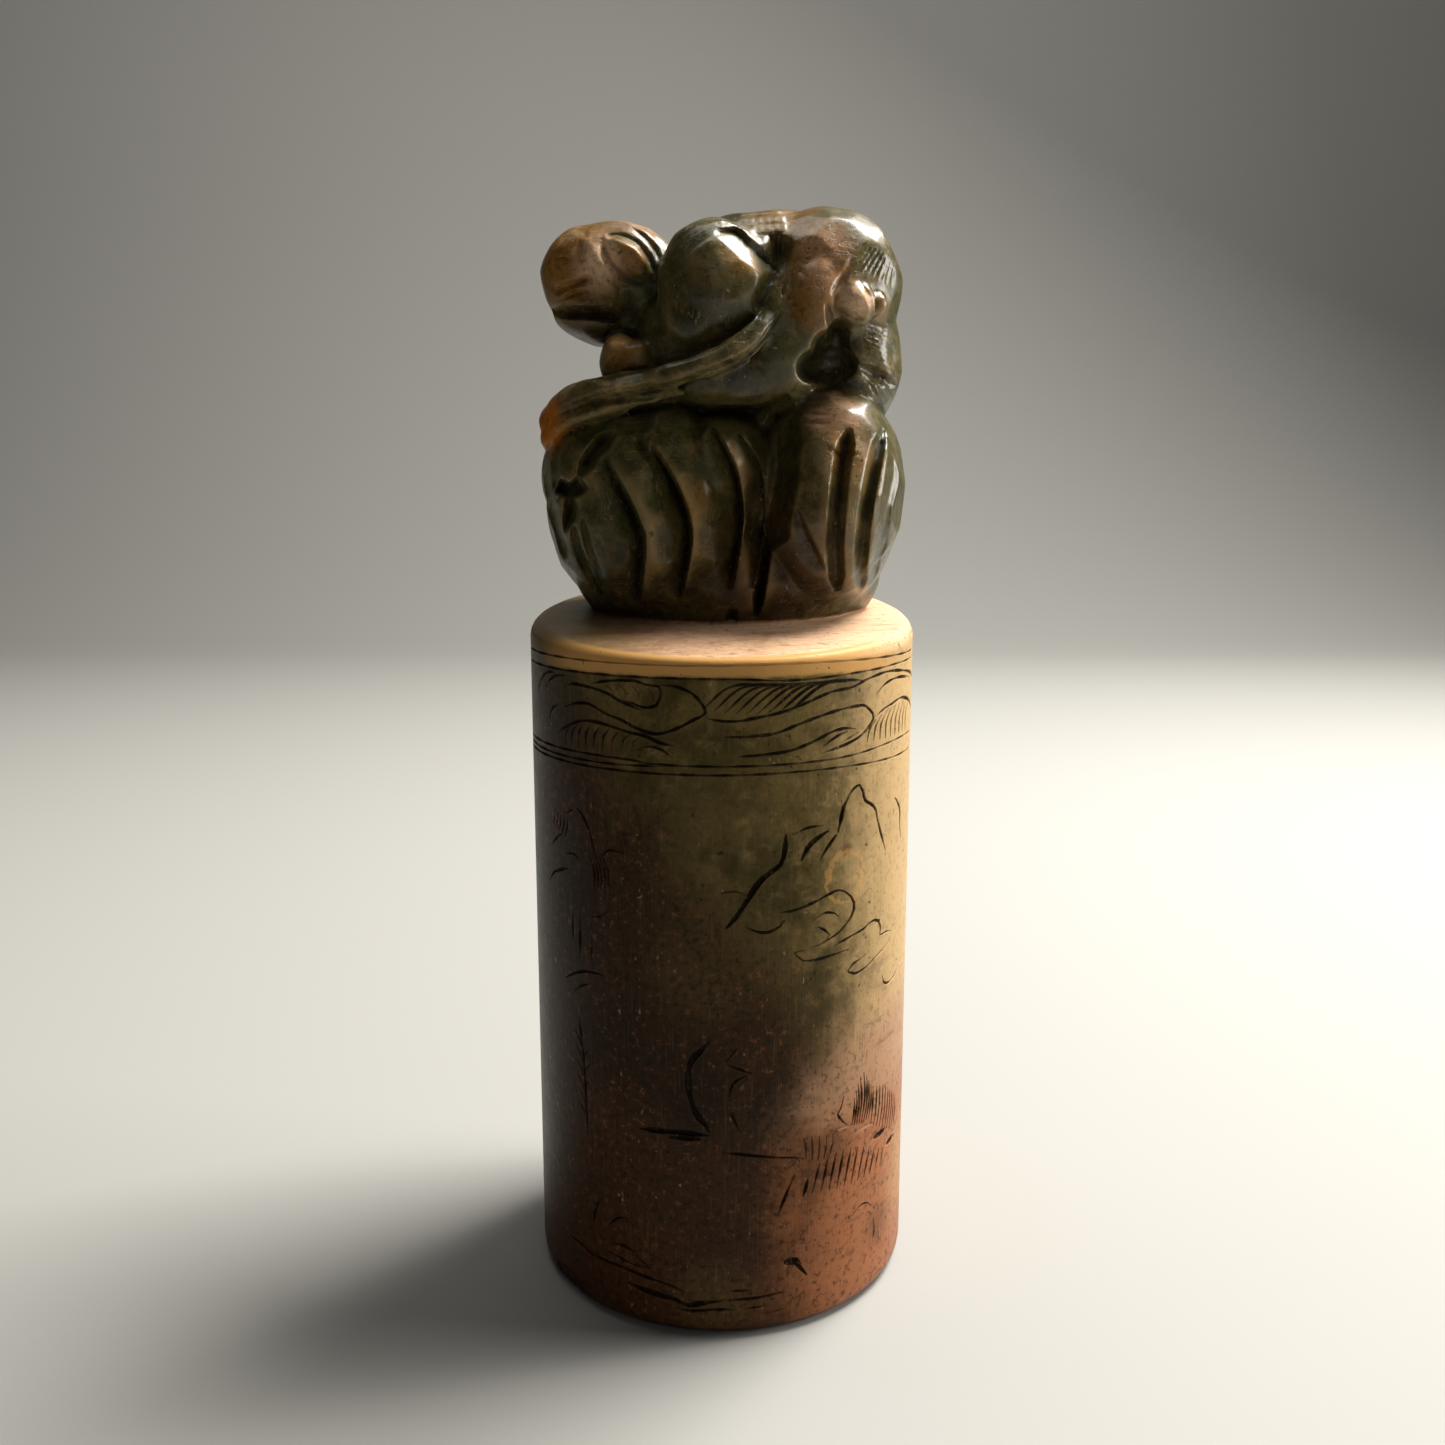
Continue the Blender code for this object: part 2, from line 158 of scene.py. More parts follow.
FRUIT_CUTS = (
    ("left_step", 3, 1.9, ((-9.3, 65), (-8.3, 63.2), (-7.4, 61.6), (-6.6, 59.8), (-6.2, 58), (-6.7, 53.4))),
    ("left_step", 3.2, 2.1, ((-5.6, 65.7), (-4.2, 63.6), (-3.3, 61.8), (-2.7, 60), (-2.6, 58),
                            (-3.4, 53.8))),
    ("left_step", 2.6, 1.9, ((-1, 67.5), (0.3, 65.2), (1, 63.6), (1.4, 61.4), (1.4, 59.2), (0.6, 54.6))),
    ("bank", 1.1, 0.5, ((-1, 67.3), (0.4, 65.4), (1.1, 63.8), (1.6, 61.6))),
    ("left_step", 1.4, 1.4, ((0.5, 67.5), (1.8, 65.7), (2.8, 64.2), (3.2, 62.4), (3.2, 59.6), (2.4, 54.6))),
    ("groove", 1.8, 1.4, ((4.6, 69.4), (4.5, 66), (4.3, 63), (3.9, 60), (3.5, 57.6))),
    ("groove", 0.45, 1.7, ((4.1, 69.2), (4.4, 66.6), (4.3, 63), (3.7, 60), (3.4, 57), (2.7, 52.4))),
    ("gouge", 0.5, 0.6, ((-6.5, 66.2), (-6.1, 65.4), (-5.4, 64.6))),
    ("groove", 0.45, 0.6, ((-10.9, 60.2), (-10.4, 57.8), (-9.7, 55.8), (-8.9, 54))),
    ("groove", 0.75, 1.4, ((-8.2, 66.7), (-9.3, 65.8), (-10.2, 64.6), (-11.1, 63.2))),
    ("groove", 0.7, -0.5, ((-11.9, 64.7), (-11, 65.4), (-10.2, 65.5))),
    ("gouge", 0.7, 1.7, ((-12.8, 62.6), (-11.7, 62.2), (-10.7, 62.9))),
    ("groove", 0.6, 1.5, ((-12, 62.4), (-11.8, 60.8), (-12.3, 59))),
    ("groove", 0.45, 0.7, ((-12.2, 66.6), (-12.9, 64.8), (-12.95, 63), (-12.6, 61.4))),
    ("groove", 0.6, 0.8, ((-13.2, 66), (-13.7, 63.6), (-13.5, 61.6), (-12.9, 59.2), (-12.2, 57))),
    ("groove", 0.5, 0.8, ((-11.7, 59.8), (-11.2, 57.6), (-10.4, 55.8), (-9.2, 53.8))),
    ("groove", 0.8, 1.1, ((9.9, 67), (9.35, 64.4), (9.1, 62), (8.95, 59.6), (8.9, 57.4), (9.1, 54.4))),
    ("groove", 0.65, 1, ((12.5, 67), (11.8, 64), (11.3, 61), (11, 58), (10.9, 54.3))),
    ("groove", 0.6, 0.6, ((13.5, 65.8), (13.2, 63), (12.8, 60.4), (12.3, 57.4), (11.9, 55.2))),
    ("left_step", 2, 0.8, ((5.6, 61.2), (6.9, 58.2), (8.2, 55.7))),
    ("gouge", 0.5, 0.9, ((0.8, 53), (0.8, 51.6))),
    ("scratch", 0.25, 0.3, ((8.2, 65.5), (9.4, 64.7))),
    ("scratch", 0.25, 0.25, ((9.3, 65.2), (10.6, 64.9))),
)
BEAST_CUTS = (
    ("groove", 1.4, 0.8, ((3.7, 81.3), (4.3, 80), (4.4, 78.4), (3.8, 76.6), (2.7, 74.9))),
    ("groove", 0.8, 0.3, ((3.6, 76.2), (2.2, 74.5), (-0.6, 73), (-4.6, 71.8), (-6, 71.4))),
    ("bank", 1.1, 0.9, ((-0.6, 81.3), (0.9, 80), (1.9, 79.1), (3.2, 78.1), (3.6, 77.1), (3.4, 76.2))),
    ("groove", 0.35, 0.45, ((5.3, 80.6), (5.2, 79), (5.2, 77.7), (4.3, 75.6), (3, 73.5), (1.5, 72.2),
                            (0.2, 71.6), (-1.4, 71), (-4.4, 70.1), (-6.5, 69.6), (-9.3, 69.1),
                            (-11, 68.6))),
    ("groove", 0.7, 0.4, ((5.2, 76.4), (5.9, 75.8))),
    ("left_step", 3, 2.2, ((-3.6, 69), (-1.3, 68.4), (0.4, 68.4), (3, 68.5), (5.2, 69.4))),
    ("groove", 0.4, 0.5, ((-3.2, 68.8), (-4.6, 68.6), (-6.5, 68.3), (-9.3, 67.6), (-11.6, 66.7),
                           (-13.2, 65.5))),
    ("scratch", 0.3, 0.3, ((-13.3, 67.3), (-12.1, 68.2), (-10.1, 68.7), (-7.4, 69.1), (-5.1, 69.3))),
    ("groove", 0.4, 0.5, ((7.9, 76.3), (8.2, 75.4), (8.3, 74.8), (8.7, 74))),
    ("scratch", 0.3, 0.3, ((8.9, 76), (9.6, 75.6), (10.9, 74.9))),
    ("groove", 0.3, 0.35, ((10.5, 77.9), (10.9, 77.2), (11.5, 76.4), (11.5, 75.5), (11, 74.8))),
    ("groove", 0.7, 0.9, ((10.5, 71.6), (11.8, 71), (13.4, 70.1))),
    ("groove", 0.55, 0.6, ((-9.8, 70.5), (-8.2, 70.7), (-6.2, 71.1), (-4.8, 71.6))),
    ("groove", 0.3, 0.4, ((-8.9, 70.9), (-8.6, 71.8), (-8, 72.6))),
    ("groove", 0.3, 0.35, ((-8.2, 70.9), (-7.8, 71.7), (-7.2, 72.4))),
    ("bank", 0.8, 0.5, ((-8.9, 73), (-8.2, 73.5), (-7.2, 73.6), (-6, 73.2))),
)
CHEEK_LINE = ((-9, 81), (-8.6, 79.6), (-7.6, 78.5), (-6.4, 77.9), (-5, 77.9))
BROW_LINE = ((-8.7, 81.2), (-7.4, 81), (-6.3, 80.4), (-5.5, 79.5), (-5.1, 78.4))
HEAD_CUTS = (
    ("groove", 0.6, 0.9, ((-13.3, 75.8), (-11.6, 75.6), (-9.6, 75.5), (-7.4, 75))),
    ("gouge", 0.4, 0.45, ((-12.7, 77.1), (-11.7, 77.5), (-10.8, 77.8), (-9.9, 78.1))),
    ("groove", 0.35, 0.4, ((-12.3, 76.4), (-11.2, 77), (-10.1, 77.2))),
    ("groove", 0.32, 0.4, ((-12.5, 79.6), (-11.9, 79.6), (-11.3, 79.3))),
    ("groove", 0.9, -0.4, ((-10.6, 81.4), (-9.9, 80), (-9.2, 78.6), (-8.5, 77.2), (-8, 76.2))),
    ("groove", 0.5, 0.45, CHEEK_LINE),
    ("groove", 0.35, 0.3, BROW_LINE),
    ("groove", 0.3, 0.2, ((-8.9, 81.9), (-7.2, 81.8), (-5.9, 81.1), (-4.9, 80), (-4.5, 79))),
    ("scratch", 0.25, 0.25, ((-7.4, 82.3), (-6, 82), (-4.9, 81.2))),
    ("scratch", 0.25, 0.2, ((-9, 80.4), (-9, 79.6), (-8.6, 79))),
    ("groove", 0.8, 0.4, ((-7.2, 77.2), (-6.8, 75.6), (-6, 74.2))),
    ("scratch", 0.4, 0.35, ((-10.6, 81.3), (-10.1, 81.1))),
)

# Rows of fine lines: how many, half width, depth, and the lines that the first and last lie on
STRANDS = (
    (6, 0.22, 0.15, ((-4.4, 77.2), (-4.2, 79), (-3.4, 80.6), (-2.2, 81.8), (-0.6, 82.5)),
     ((-3.1, 77.8), (-2.9, 79.2), (-2.1, 80.3), (-0.8, 81.1), (0.4, 81.4))),
    (5, 0.2, 0.24, ((3.7, 81.6), (3.9, 79.5), (4, 78), (3.4, 76.3), (2.4, 74.6), (1, 73.2), (-0.8, 72.2),
                   (-5, 71)),
     ((5.2, 81.2), (4.9, 79.3), (4.9, 77.8), (4.1, 75.9), (2.9, 74), (1.4, 72.6), (-0.2, 71.7),
      (-5, 70.4))),
    (3, 0.2, 0.2, ((-12.6, 68.4), (-9.4, 69.6), (-5, 70.4)), ((-13.4, 67), (-11, 68.2), (-7, 69.3))),
    (3, 0.2, 0.16, ((-1.2, 82.4), (1, 82.5), (3, 82.65), (6.4, 82.8)),
     ((-0.6, 81.5), (1, 81.35), (3, 81.2), (4.9, 81.4))),
    (3, 0.2, 0.15, ((-5.2, 82), (-4.2, 81.2), (-3.7, 80)), ((-6.6, 81.6), (-5.4, 80.6), (-4.6, 79))),
    (4, 0.2, 0.22, ((10.7, 71), (11.5, 70.1), (12.6, 68.4)), ((11.9, 71.2), (12.7, 70.3), (13.4, 69))),
    (4, 0.2, 0.12, ((4.9, 69.9), (6.6, 69.4), (8.6, 69.2)), ((4.8, 67.9), (6.4, 67.4), (8.4, 67.3))),
)
HATCHES = (
    (10, 0.18, 0.2, ((-0.4, 82.5), (2, 82.6), (4.8, 82.8)), ((-0.2, 81.5), (2, 81.3), (5, 81.5))),
    (12, 0.22, 0.24, ((8.3, 76.8), (9.2, 77.8), (10.4, 78.2), (11.6, 78), (12.9, 77.5)),
     ((10.2, 80.2), (11, 80.7), (11.5, 80.5), (12.1, 80.1), (13, 78.9))),
    (8, 0.22, 0.24, ((10.7, 75), (10.8, 73.6), (10.9, 72.3)), ((13.4, 74), (13.5, 72.6), (13.5, 71))),
    (7, 0.2, 0.12, ((5.6, 79.6), (5.6, 77.4), (4.6, 75)), ((6.4, 79), (6.4, 76.6), (5.6, 74.2))),
    (6, 0.2, 0.1, ((1, 67.4), (2.6, 64.4)), ((3.5, 67.2), (3.7, 63.8))),
)

# Ribs on the far side of a fruit: angles round its upright axis, from +X through +Y
BACK_RIBS = {"left_fruit": (62, 84, 106, 128, 150), "right_fruit": (34, 56, 78, 100)}
RIB_HALF_WIDTH = 1.1
RIB_DEPTH = 0.8
RIB_REACH = 62
BACK_CUTS = (
    ("groove", 1, 1.2, ((3.4, 69), (3.6, 64), (3.4, 58), (2.6, 53.6))),
    ("groove", 1, 0.9, ((3.2, 82), (4, 79), (3.4, 75.6), (0, 72.6), (-5, 70.6))),
    ("groove", 0.8, 0.7, ((12.6, 70.6), (8, 69.4), (3, 69.2), (-3, 68.6), (-10, 68.4))),
    ("groove", 0.6, 0.6, ((-13.2, 75.7), (-10.6, 75.9), (-7.4, 75.2))),
    ("gouge", 0.32, 0.4, ((-12.7, 77.1), (-11.4, 77.6), (-9.9, 78.1))),
    ("gouge", 0.22, 0.4, ((-12.3, 79.6), (-11.5, 79.4))),
    ("groove", 0.5, 0.6, CHEEK_LINE),
    ("groove", 0.35, 0.45, BROW_LINE),
)
BACK_STRANDS = (
    (6, 0.2, 0.2, ((4.6, 81.6), (4.6, 78.4), (3.4, 75), (0.4, 72.8), (-5, 71.2)),
     ((6.6, 81.2), (6.4, 77.6), (4.8, 74.2), (1.2, 71.4), (-6, 69.6))),
)
BACK_HATCHES = (
    (9, 0.17, 0.2, ((8.8, 78.4), (11, 78.2)), ((9.2, 80.6), (12.4, 79.4))),
    (9, 0.18, 0.2, ((10.6, 75.4), (11.2, 71.4)), ((13.2, 74.6), (13.2, 70.6))),
)


# Shaping the knob
def smooth_path(stations, step):
    """Points about step apart on a smooth curve through the stations, whatever their size."""
    knots = [np.array(station, float) for station in stations]
    knots = [2 * knots[0] - knots[1]] + knots + [2 * knots[-1] - knots[-2]]
    points = []
    for before, start, end, after in zip(knots, knots[1:], knots[2:], knots[3:]):
        count = max(1, round(float(np.linalg.norm((end - start)[:3])) / step))
        for share in np.arange(count) / count:
            bend = (2 * before - 5 * start + 4 * end - after) * share**2
            twist = (3 * start - before - 3 * end + after) * share**3
            points.append(0.5 * (2 * start + (end - before) * share + bend + twist))
    points.append(knots[-2])
    return np.array(points)


def distance_along(path):
    """How far along the path each of its points lies."""
    return np.append(0, np.cumsum(np.linalg.norm(np.diff(path, axis=0), axis=1)))


def spread(stations, count):
    """Count points spaced evenly along a smooth curve through the stations."""
    line = smooth_path(stations, PATH_STEP / 4)
    travelled = distance_along(line)
    marks = np.linspace(0, travelled[-1], count)
    return np.stack([np.interp(marks, travelled, column) for column in line.T], axis=1)


def strand_cuts(rows):
    """Lines that change evenly from a row's first line to its last."""
    cuts = []
    for count, half_width, depth, first, last in rows:
        start, end = spread(first, STRAND_POINTS), spread(last, STRAND_POINTS)
        for share in np.linspace(0, 1, count):
            cuts.append(("scratch", half_width, depth, start + (end - start) * share))
    return cuts


def hatch_cuts(rows):
    """Short lines that cross from a row's first line to its last."""
    cuts = []
    for count, half_width, depth, first, last in rows:
        for start, end in zip(spread(first, count), spread(last, count)):
            cuts.append(("scratch", half_width, depth, (start, end)))
    return cuts


def rib_cuts():
    """The grooves between the ribs on the far side of both fruit."""
    cuts = []
    for name, angles in BACK_RIBS.items():
        centre, half_sizes = FRUIT[name][:2]
        for angle in angles:
            line = []
            for tilt in range(-RIB_REACH, RIB_REACH + 1, RIB_REACH // 4):
                flat = math.cos(math.radians(tilt))
                way = (flat * math.cos(math.radians(angle)), flat * math.sin(math.radians(angle)),
                       math.sin(math.radians(tilt)))
                line.append([middle + half * part for middle, half, part in zip(centre, half_sizes, way)])
            cuts.append(("groove", RIB_HALF_WIDTH, RIB_DEPTH, on_view_plane(np.array(line), BACK_EYE)))
    return cuts


def mesh_array(items, field):
    values = np.empty(len(items) * 3)
    items.foreach_get(field, values)
    return values.reshape(-1, 3)


def in_sight(mesh, points, eye):
    """True for each point of the skin that nothing hides from the eye."""
    tree = BVHTree.FromPolygons(points.tolist(), [tuple(face.vertices) for face in mesh.polygons])
    seen = []
    for point in points:
        ray = Vector(point) - eye
        hit = tree.ray_cast(eye, ray.normalized())
        seen.append(hit[3] is None or hit[3] > ray.length - 2 * SKIN_STEP)
    return np.array(seen)


def even_out(mesh, values, rounds):
    """Average a value per vertex with its neighbours' values, a number of times."""
    edges = np.empty(len(mesh.edges) * 2, int)
    mesh.edges.foreach_get("vertices", edges)
    first, second = edges.reshape(-1, 2).T
    joined = np.bincount(edges, minlength=len(values))
    for _ in range(rounds):
        total = np.bincount(first, values[second], len(values))
        total += np.bincount(second, values[first], len(values))
        values = (values + total / joined) / 2
    return values


def on_view_plane(points, eye):
    """Where points appear from the eye on the plane y = 0, as x and z."""
    scale = eye.y / (eye.y - points[:, 1])
    return np.stack((points[:, 0] * scale, eye.z + (points[:, 2] - eye.z) * scale), axis=1)


def cut_profile(profile, gap, right, half_width):
    """Share of a cut's depth at a gap from its line, on its right or left."""
    if profile == "left_step":
        slope = np.clip(1 - gap / half_width, 0, 1) ** SLOPE_POWER
        wall = np.clip(1 - gap / STEEP_WALL, 0, 1)
        return np.where(right, wall, slope)
    if profile == "bank":
        fall = np.minimum(gap / half_width, np.clip(3 - 2 * gap / half_width, 0, 1))
        return np.where(right, fall, 0)
    if profile == "gouge":
        return np.clip((half_width - gap) / STEEP_WALL, 0, 1)
    if profile == "scratch":
        return np.clip(1 - gap / half_width, 0, 1)
    return np.clip(1 - (gap / half_width) ** 2, 0, 1) ** SLOPE_POWER


def cut_depth(profile, half_width, depth, stations, spots):
    """Depth at each spot of one cut, whose line runs through the stations."""
    line = smooth_path(stations, PATH_STEP)
    start, run = line[:-1], np.diff(line, axis=0)
    reach = spots[:, None, :] - start
    share = np.clip((reach * run).sum(2) / (run**2).sum(1), 0, 1)
    away = np.linalg.norm(reach - share[..., None] * run, axis=2)
    nearest = away.argmin(axis=1)
    rows = np.arange(len(spots))
    across = run[nearest, 0] * reach[rows, nearest, 1] - run[nearest, 1] * reach[rows, nearest, 0]
    steps = np.linalg.norm(run, axis=1)
    travelled = (np.cumsum(steps) - steps)[nearest] + share[rows, nearest] * steps[nearest]
    fade = np.clip(np.minimum(travelled, steps.sum() - travelled) / END_FADES[profile], 0, 1)
    width = half_width if profile == "gouge" else half_width * (NARROW_END + (1 - NARROW_END) * fade)
    return depth * fade**0.5 * cut_profile(profile, away[rows, nearest], across > 0, width)


def carve(knob, cuts, eye):
    """Sink each cut straight back into the side of the skin that faces the eye."""
    mesh = knob.data
    points = mesh_array(mesh.vertices, "co")
    normals = mesh_array(mesh.vertex_normals, "vector")
    sight = np.array(eye) - points
    distance = np.linalg.norm(sight, axis=1)
    facing = (normals * sight).sum(1) / distance
    share = np.clip((facing - EDGE_ON) / FACING_FADE, 0, 1) * in_sight(mesh, points, eye)
    share = even_out(mesh, share, SIGHT_BLEND)
    spots = on_view_plane(points, eye)
    sunk = np.zeros(len(points))
    raised = np.zeros(len(points))
    fine = np.zeros(len(points))
    for profile, half_width, depth, stations in cuts:
        stations = np.array(stations, float)
        margin = abs(half_width) + PATH_STEP
        near = ((spots > stations.min(0) - margin) & (spots < stations.max(0) + margin)).all(1)
        near = np.nonzero(near & (share > 0))[0]
        if len(near):
            depths = cut_depth(profile, half_width, depth, stations, spots[near])
            kind = fine if profile == "scratch" else raised if depth < 0 else sunk
            kind[near] = np.minimum(kind[near], depths) if depth < 0 else np.maximum(kind[near], depths)
    points -= sight / distance[:, None] * ((sunk + raised + fine) * share)[:, None]
    mesh.vertices.foreach_set("co", points.ravel())
    mesh.update()


# Engraving
# Each stroke is points of s, z: the distance round the column from its front line, and the height.
# A stroke is cut by a thin round tube, thinner at its ends and a little uneven, as by hand.
STROKE_STEP = 0.45
STROKE_SIDES = 3
LINE_HALF_WIDTH = 0.13
RING_HALF_WIDTH = 0.1
BOLD_HALF_WIDTH = 0.22
STROKE_TAPER = 1.2
THIN_END = 0.35
HAND_WOBBLE = 0.2
WOBBLE_ALONG = 2.3
WOBBLE_UP = 5
MERGE_GAP = 0.00001
CHIP_ROUGHNESS = 0.25
RING_STROKES = (
    ((-47, 50.3), (-14.5, 50.3), (4.9, 50.35), (17, 50.2), (30, 50.1), (47.3, 50.3)),
    ((-47, 49.4), (-12, 49.4), (0, 49.4), (5, 49.2), (12, 49.45), (20, 49.6), (47.3, 49.4)),
    ((-47, 43.4), (-11, 43.6), (-4, 43.35), (8, 43.4), (17, 43.9), (30, 43.6), (47.3, 43.4)),
    ((-30, 43.2), (-16, 43.1), (-9, 43.1), (-4, 43.25)),
    ((-47, 42.7), (-5, 42.7), (8, 42.75), (19, 42.6), (47.3, 42.7)),
)
BAND_STROKES = (
    ((-10, 48.7), (-8.3, 49), (-6.3, 49.15), (-5.4, 48.9), (-4.4, 48.8), (-4.3, 48), (-4.6, 47.5),
     (-5.4, 47.3), (-6.3, 47.5), (-7.3, 47.8)),
    ((-12.9, 48.2), (-11.9, 48.5), (-10, 48.4), (-8.5, 48.1), (-7.3, 47.6), (-5.7, 47.1)),
    ((-12.9, 46.7), (-11.7, 47.1), (-10.2, 47.2), (-8.5, 46.6), (-7.3, 46.3), (-6.1, 45.8), (-4.6, 45.5),
     (-3.2, 45.9), (-1.9, 46.6), (-1.1, 47.1), (-1.7, 48.1), (-2.4, 48.6), (-3.4, 48.9), (-4.4, 48.9)),
    ((-13.8, 44.7), (-12.7, 45.3), (-11.4, 45.8), (-10, 46), (-8.3, 45.8), (-6.8, 45.5), (-5.4, 45.3),
     (-4.4, 44.9), (-3.2, 44.7)),
    ((-6, 44.3), (-5.2, 44.6), (-4.2, 44.4), (-3.4, 43.9)),
    ((-17.5, 47.4), (-16.6, 48.4), (-15.3, 49), (-14.1, 49.1)),
    ((-15.8, 47.7), (-15.1, 48.4), (-13.9, 48.9), (-12.7, 49)),
    ((-15.3, 45.5), (-14.6, 46.4), (-13.4, 46.9)),
    ((-1, 46.7), (0, 46.5), (1.2, 46.5), (2.4, 46.7), (4.1, 47), (6.1, 47.6), (8, 48.2), (10, 48.4),
     (11.4, 48.8), (13.4, 49.1), (15.1, 49.1), (17, 48.9), (19, 48.6), (21, 48)),
    ((12.4, 47.4), (13.2, 48), (14.4, 48.4), (16.3, 48.5), (19, 48.2)),
    ((0.1, 45.4), (1.9, 45.4), (3.9, 45.6), (5.4, 46.1), (7.3, 46.6), (9, 46.9), (10.7, 47), (11.4, 46.9),
     (12.2, 46.3), (12.3, 45.9), (11.7, 45.3), (10.7, 44.7), (8.8, 44.2), (7.1, 43.9)),
    ((1, 44), (2.9, 44.1), (4.9, 44.3), (6.6, 44.8), (8.3, 45.4), (9.5, 45.5), (10.4, 45.35)),
    ((9.6, 45.3), (8.6, 45), (7.4, 44.4)),
    ((10.6, 45.1), (9.8, 44.8), (9, 44.5)),
    ((12.4, 45.9), (13.6, 46.4), (15.1, 46.7), (16.6, 46.9), (18, 46.7), (19, 46.4), (20.6, 45.6)),
)
BAND_HATCHES = (
    (5, 0.35, ((-9.8, 48.5), (-7.6, 48.8), (-5.2, 48.6)), ((-8.8, 47.9), (-6.6, 47.7), (-4.8, 47.7))),
    (11, -0.35, ((-12.2, 45.4), (-9.8, 45.9), (-6.6, 45.4), (-4.2, 44.8)),
     ((-12.9, 43.9), (-10.4, 43.9), (-7.4, 44), (-5, 44.2))),
    (9, -0.3, ((2.6, 49.1), (6, 48.95), (11.2, 48.8)), ((-1.2, 47.4), (1, 47), (4.6, 46.95))),
    (9, -0.3, ((12.6, 45.8), (15.1, 46.5), (18.6, 46.5)), ((11.6, 44.3), (14.2, 44.2), (17.8, 44.3))),
)
# A leaf and a wave that go on round the back, with their middles at BACK_LEAVES
BACK_LEAVES = (27, 37, -37.5, -27.5)
LEAF_STROKES = (
    ((-5, 44.6), (-3.2, 45.5), (-1, 46), (1.4, 45.7), (4, 44.8)),
    ((-5.2, 46.3), (-3.4, 47.2), (-1.2, 47.3), (1, 46.7), (3, 46.2), (4.6, 46.6)),
    ((-4.6, 48), (-2.6, 48.8), (0, 48.9), (2.4, 48.3), (4.4, 47.6)),
)
LEAF_HATCHES = (
    (7, -0.3, ((-4, 45), (-1, 45.8), (3, 45.1)), ((-4.8, 43.9), (-2, 43.9), (1.8, 43.9))),
    (5, 0.3, ((-2.6, 48.7), (0, 48.8), (2.2, 48.3)), ((-1.6, 47.9), (0.6, 47.7), (2.8, 47.4))),
)

LANDSCAPE_STROKES = (
    ((9.3, 39.8), (9.8, 40.6), (10.25, 41), (10.9, 41.2), (11.25, 40.7), (11.5, 40), (12.2, 39.6),
     (12.8, 39.1), (13.1, 38.2), (13.5, 37.3), (14, 36.3), (14.3, 35.6)),
    ((5.1, 38.3), (6, 38.6), (6.8, 38.7), (7.7, 38.7)),
    ((15.3, 39.2), (15.8, 39.4), (16.5, 38.8), (16.9, 38.2), (17, 37), (17.3, 36)),
    ((0, 34.3), (1, 34.4), (1.8, 34.1)),
    ((1.7, 31.8), (2.5, 31.4), (3.3, 31.3), (4.2, 31.7), (4.6, 32.2)),
    ((4.1, 32.7), (5, 32.7), (6, 32.9), (7.2, 33.25), (8.3, 33.6), (9, 33.7), (9.7, 33.4), (10.2, 33),
     (10.5, 32.5), (10.5, 32), (10.25, 31.5), (9.7, 31), (9, 30.5), (8.2, 30.2), (7.3, 29.9), (6.7, 29.8)),
    ((6.8, 31.8), (7.3, 32.1), (8, 32.2), (8.7, 32), (9, 31.7)),
    ((6.7, 31.25), (7.3, 31.2), (7.8, 30.9), (8.2, 30.5), (7.8, 30.1)),
    ((6.2, 29.7), (5.3, 29.6), (5.6, 29.25), (6, 28.9), (7, 28.8), (8.3, 28.9), (10, 29.05)),
    ((8.4, 29.5), (9.3, 29.75), (10.3, 30), (11.7, 30.25), (12.2, 30.5), (13, 30.6), (13.5, 30.4),
     (13.8, 29.9), (13.7, 29.25), (14.7, 29.25), (15.5, 29.1)),
    ((15, 28.3), (14.2, 28), (13, 27.6), (12, 27.2), (10.8, 27), (10.2, 27.2), (10, 27.4),
     (10.5, 27.8), (11.3, 28), (12, 28.25)),
    ((14.2, 26), (14.4, 25.4), (14.8, 25.1), (15.3, 25), (16.5, 25.2), (17.7, 25.75), (18.7, 25.9)),
)
THICK_STROKES = (
    ((8.8, 38), (9.1, 39), (9.3, 39.8), (9.8, 40.5)),
    ((8.7, 37.9), (7.8, 36.9), (7.3, 36.2)),
    ((8, 38.25), (7, 37.8), (6.25, 37.2), (5.75, 36.3)),
    ((4.6, 38.4), (4.5, 37.2), (4.2, 36.2), (3.2, 35.5), (2.5, 34.8), (1.8, 33.7), (1, 32.5), (0.3, 31.7)),
    ((-0.85, 23.3), (-1.5, 22.6), (-2.2, 21.7), (-2.4, 20.5), (-2.3, 19.2), (-1.85, 17.8), (-1.1, 16.8),
     (-0.85, 16.3)),
    ((-6.2, 16.05), (-3, 16.2), (-0.8, 16.1)),
    ((-3.9, 15.75), (-1.5, 15.8)),
    ((6.6, 12), (6.4, 11.2), (6.2, 10.6)),
    ((4.9, 5.9), (5.7, 5.3), (6.6, 4.2)),
    ((5.6, 5.9), (6.1, 5.2)),
    ((-7.4, 3.4), (-6.2, 3.2), (-4.6, 3), (-3.4, 2.85), (-2.5, 2.5), (-1.8, 2.7), (-0.9, 2.9), (0, 3)),
)
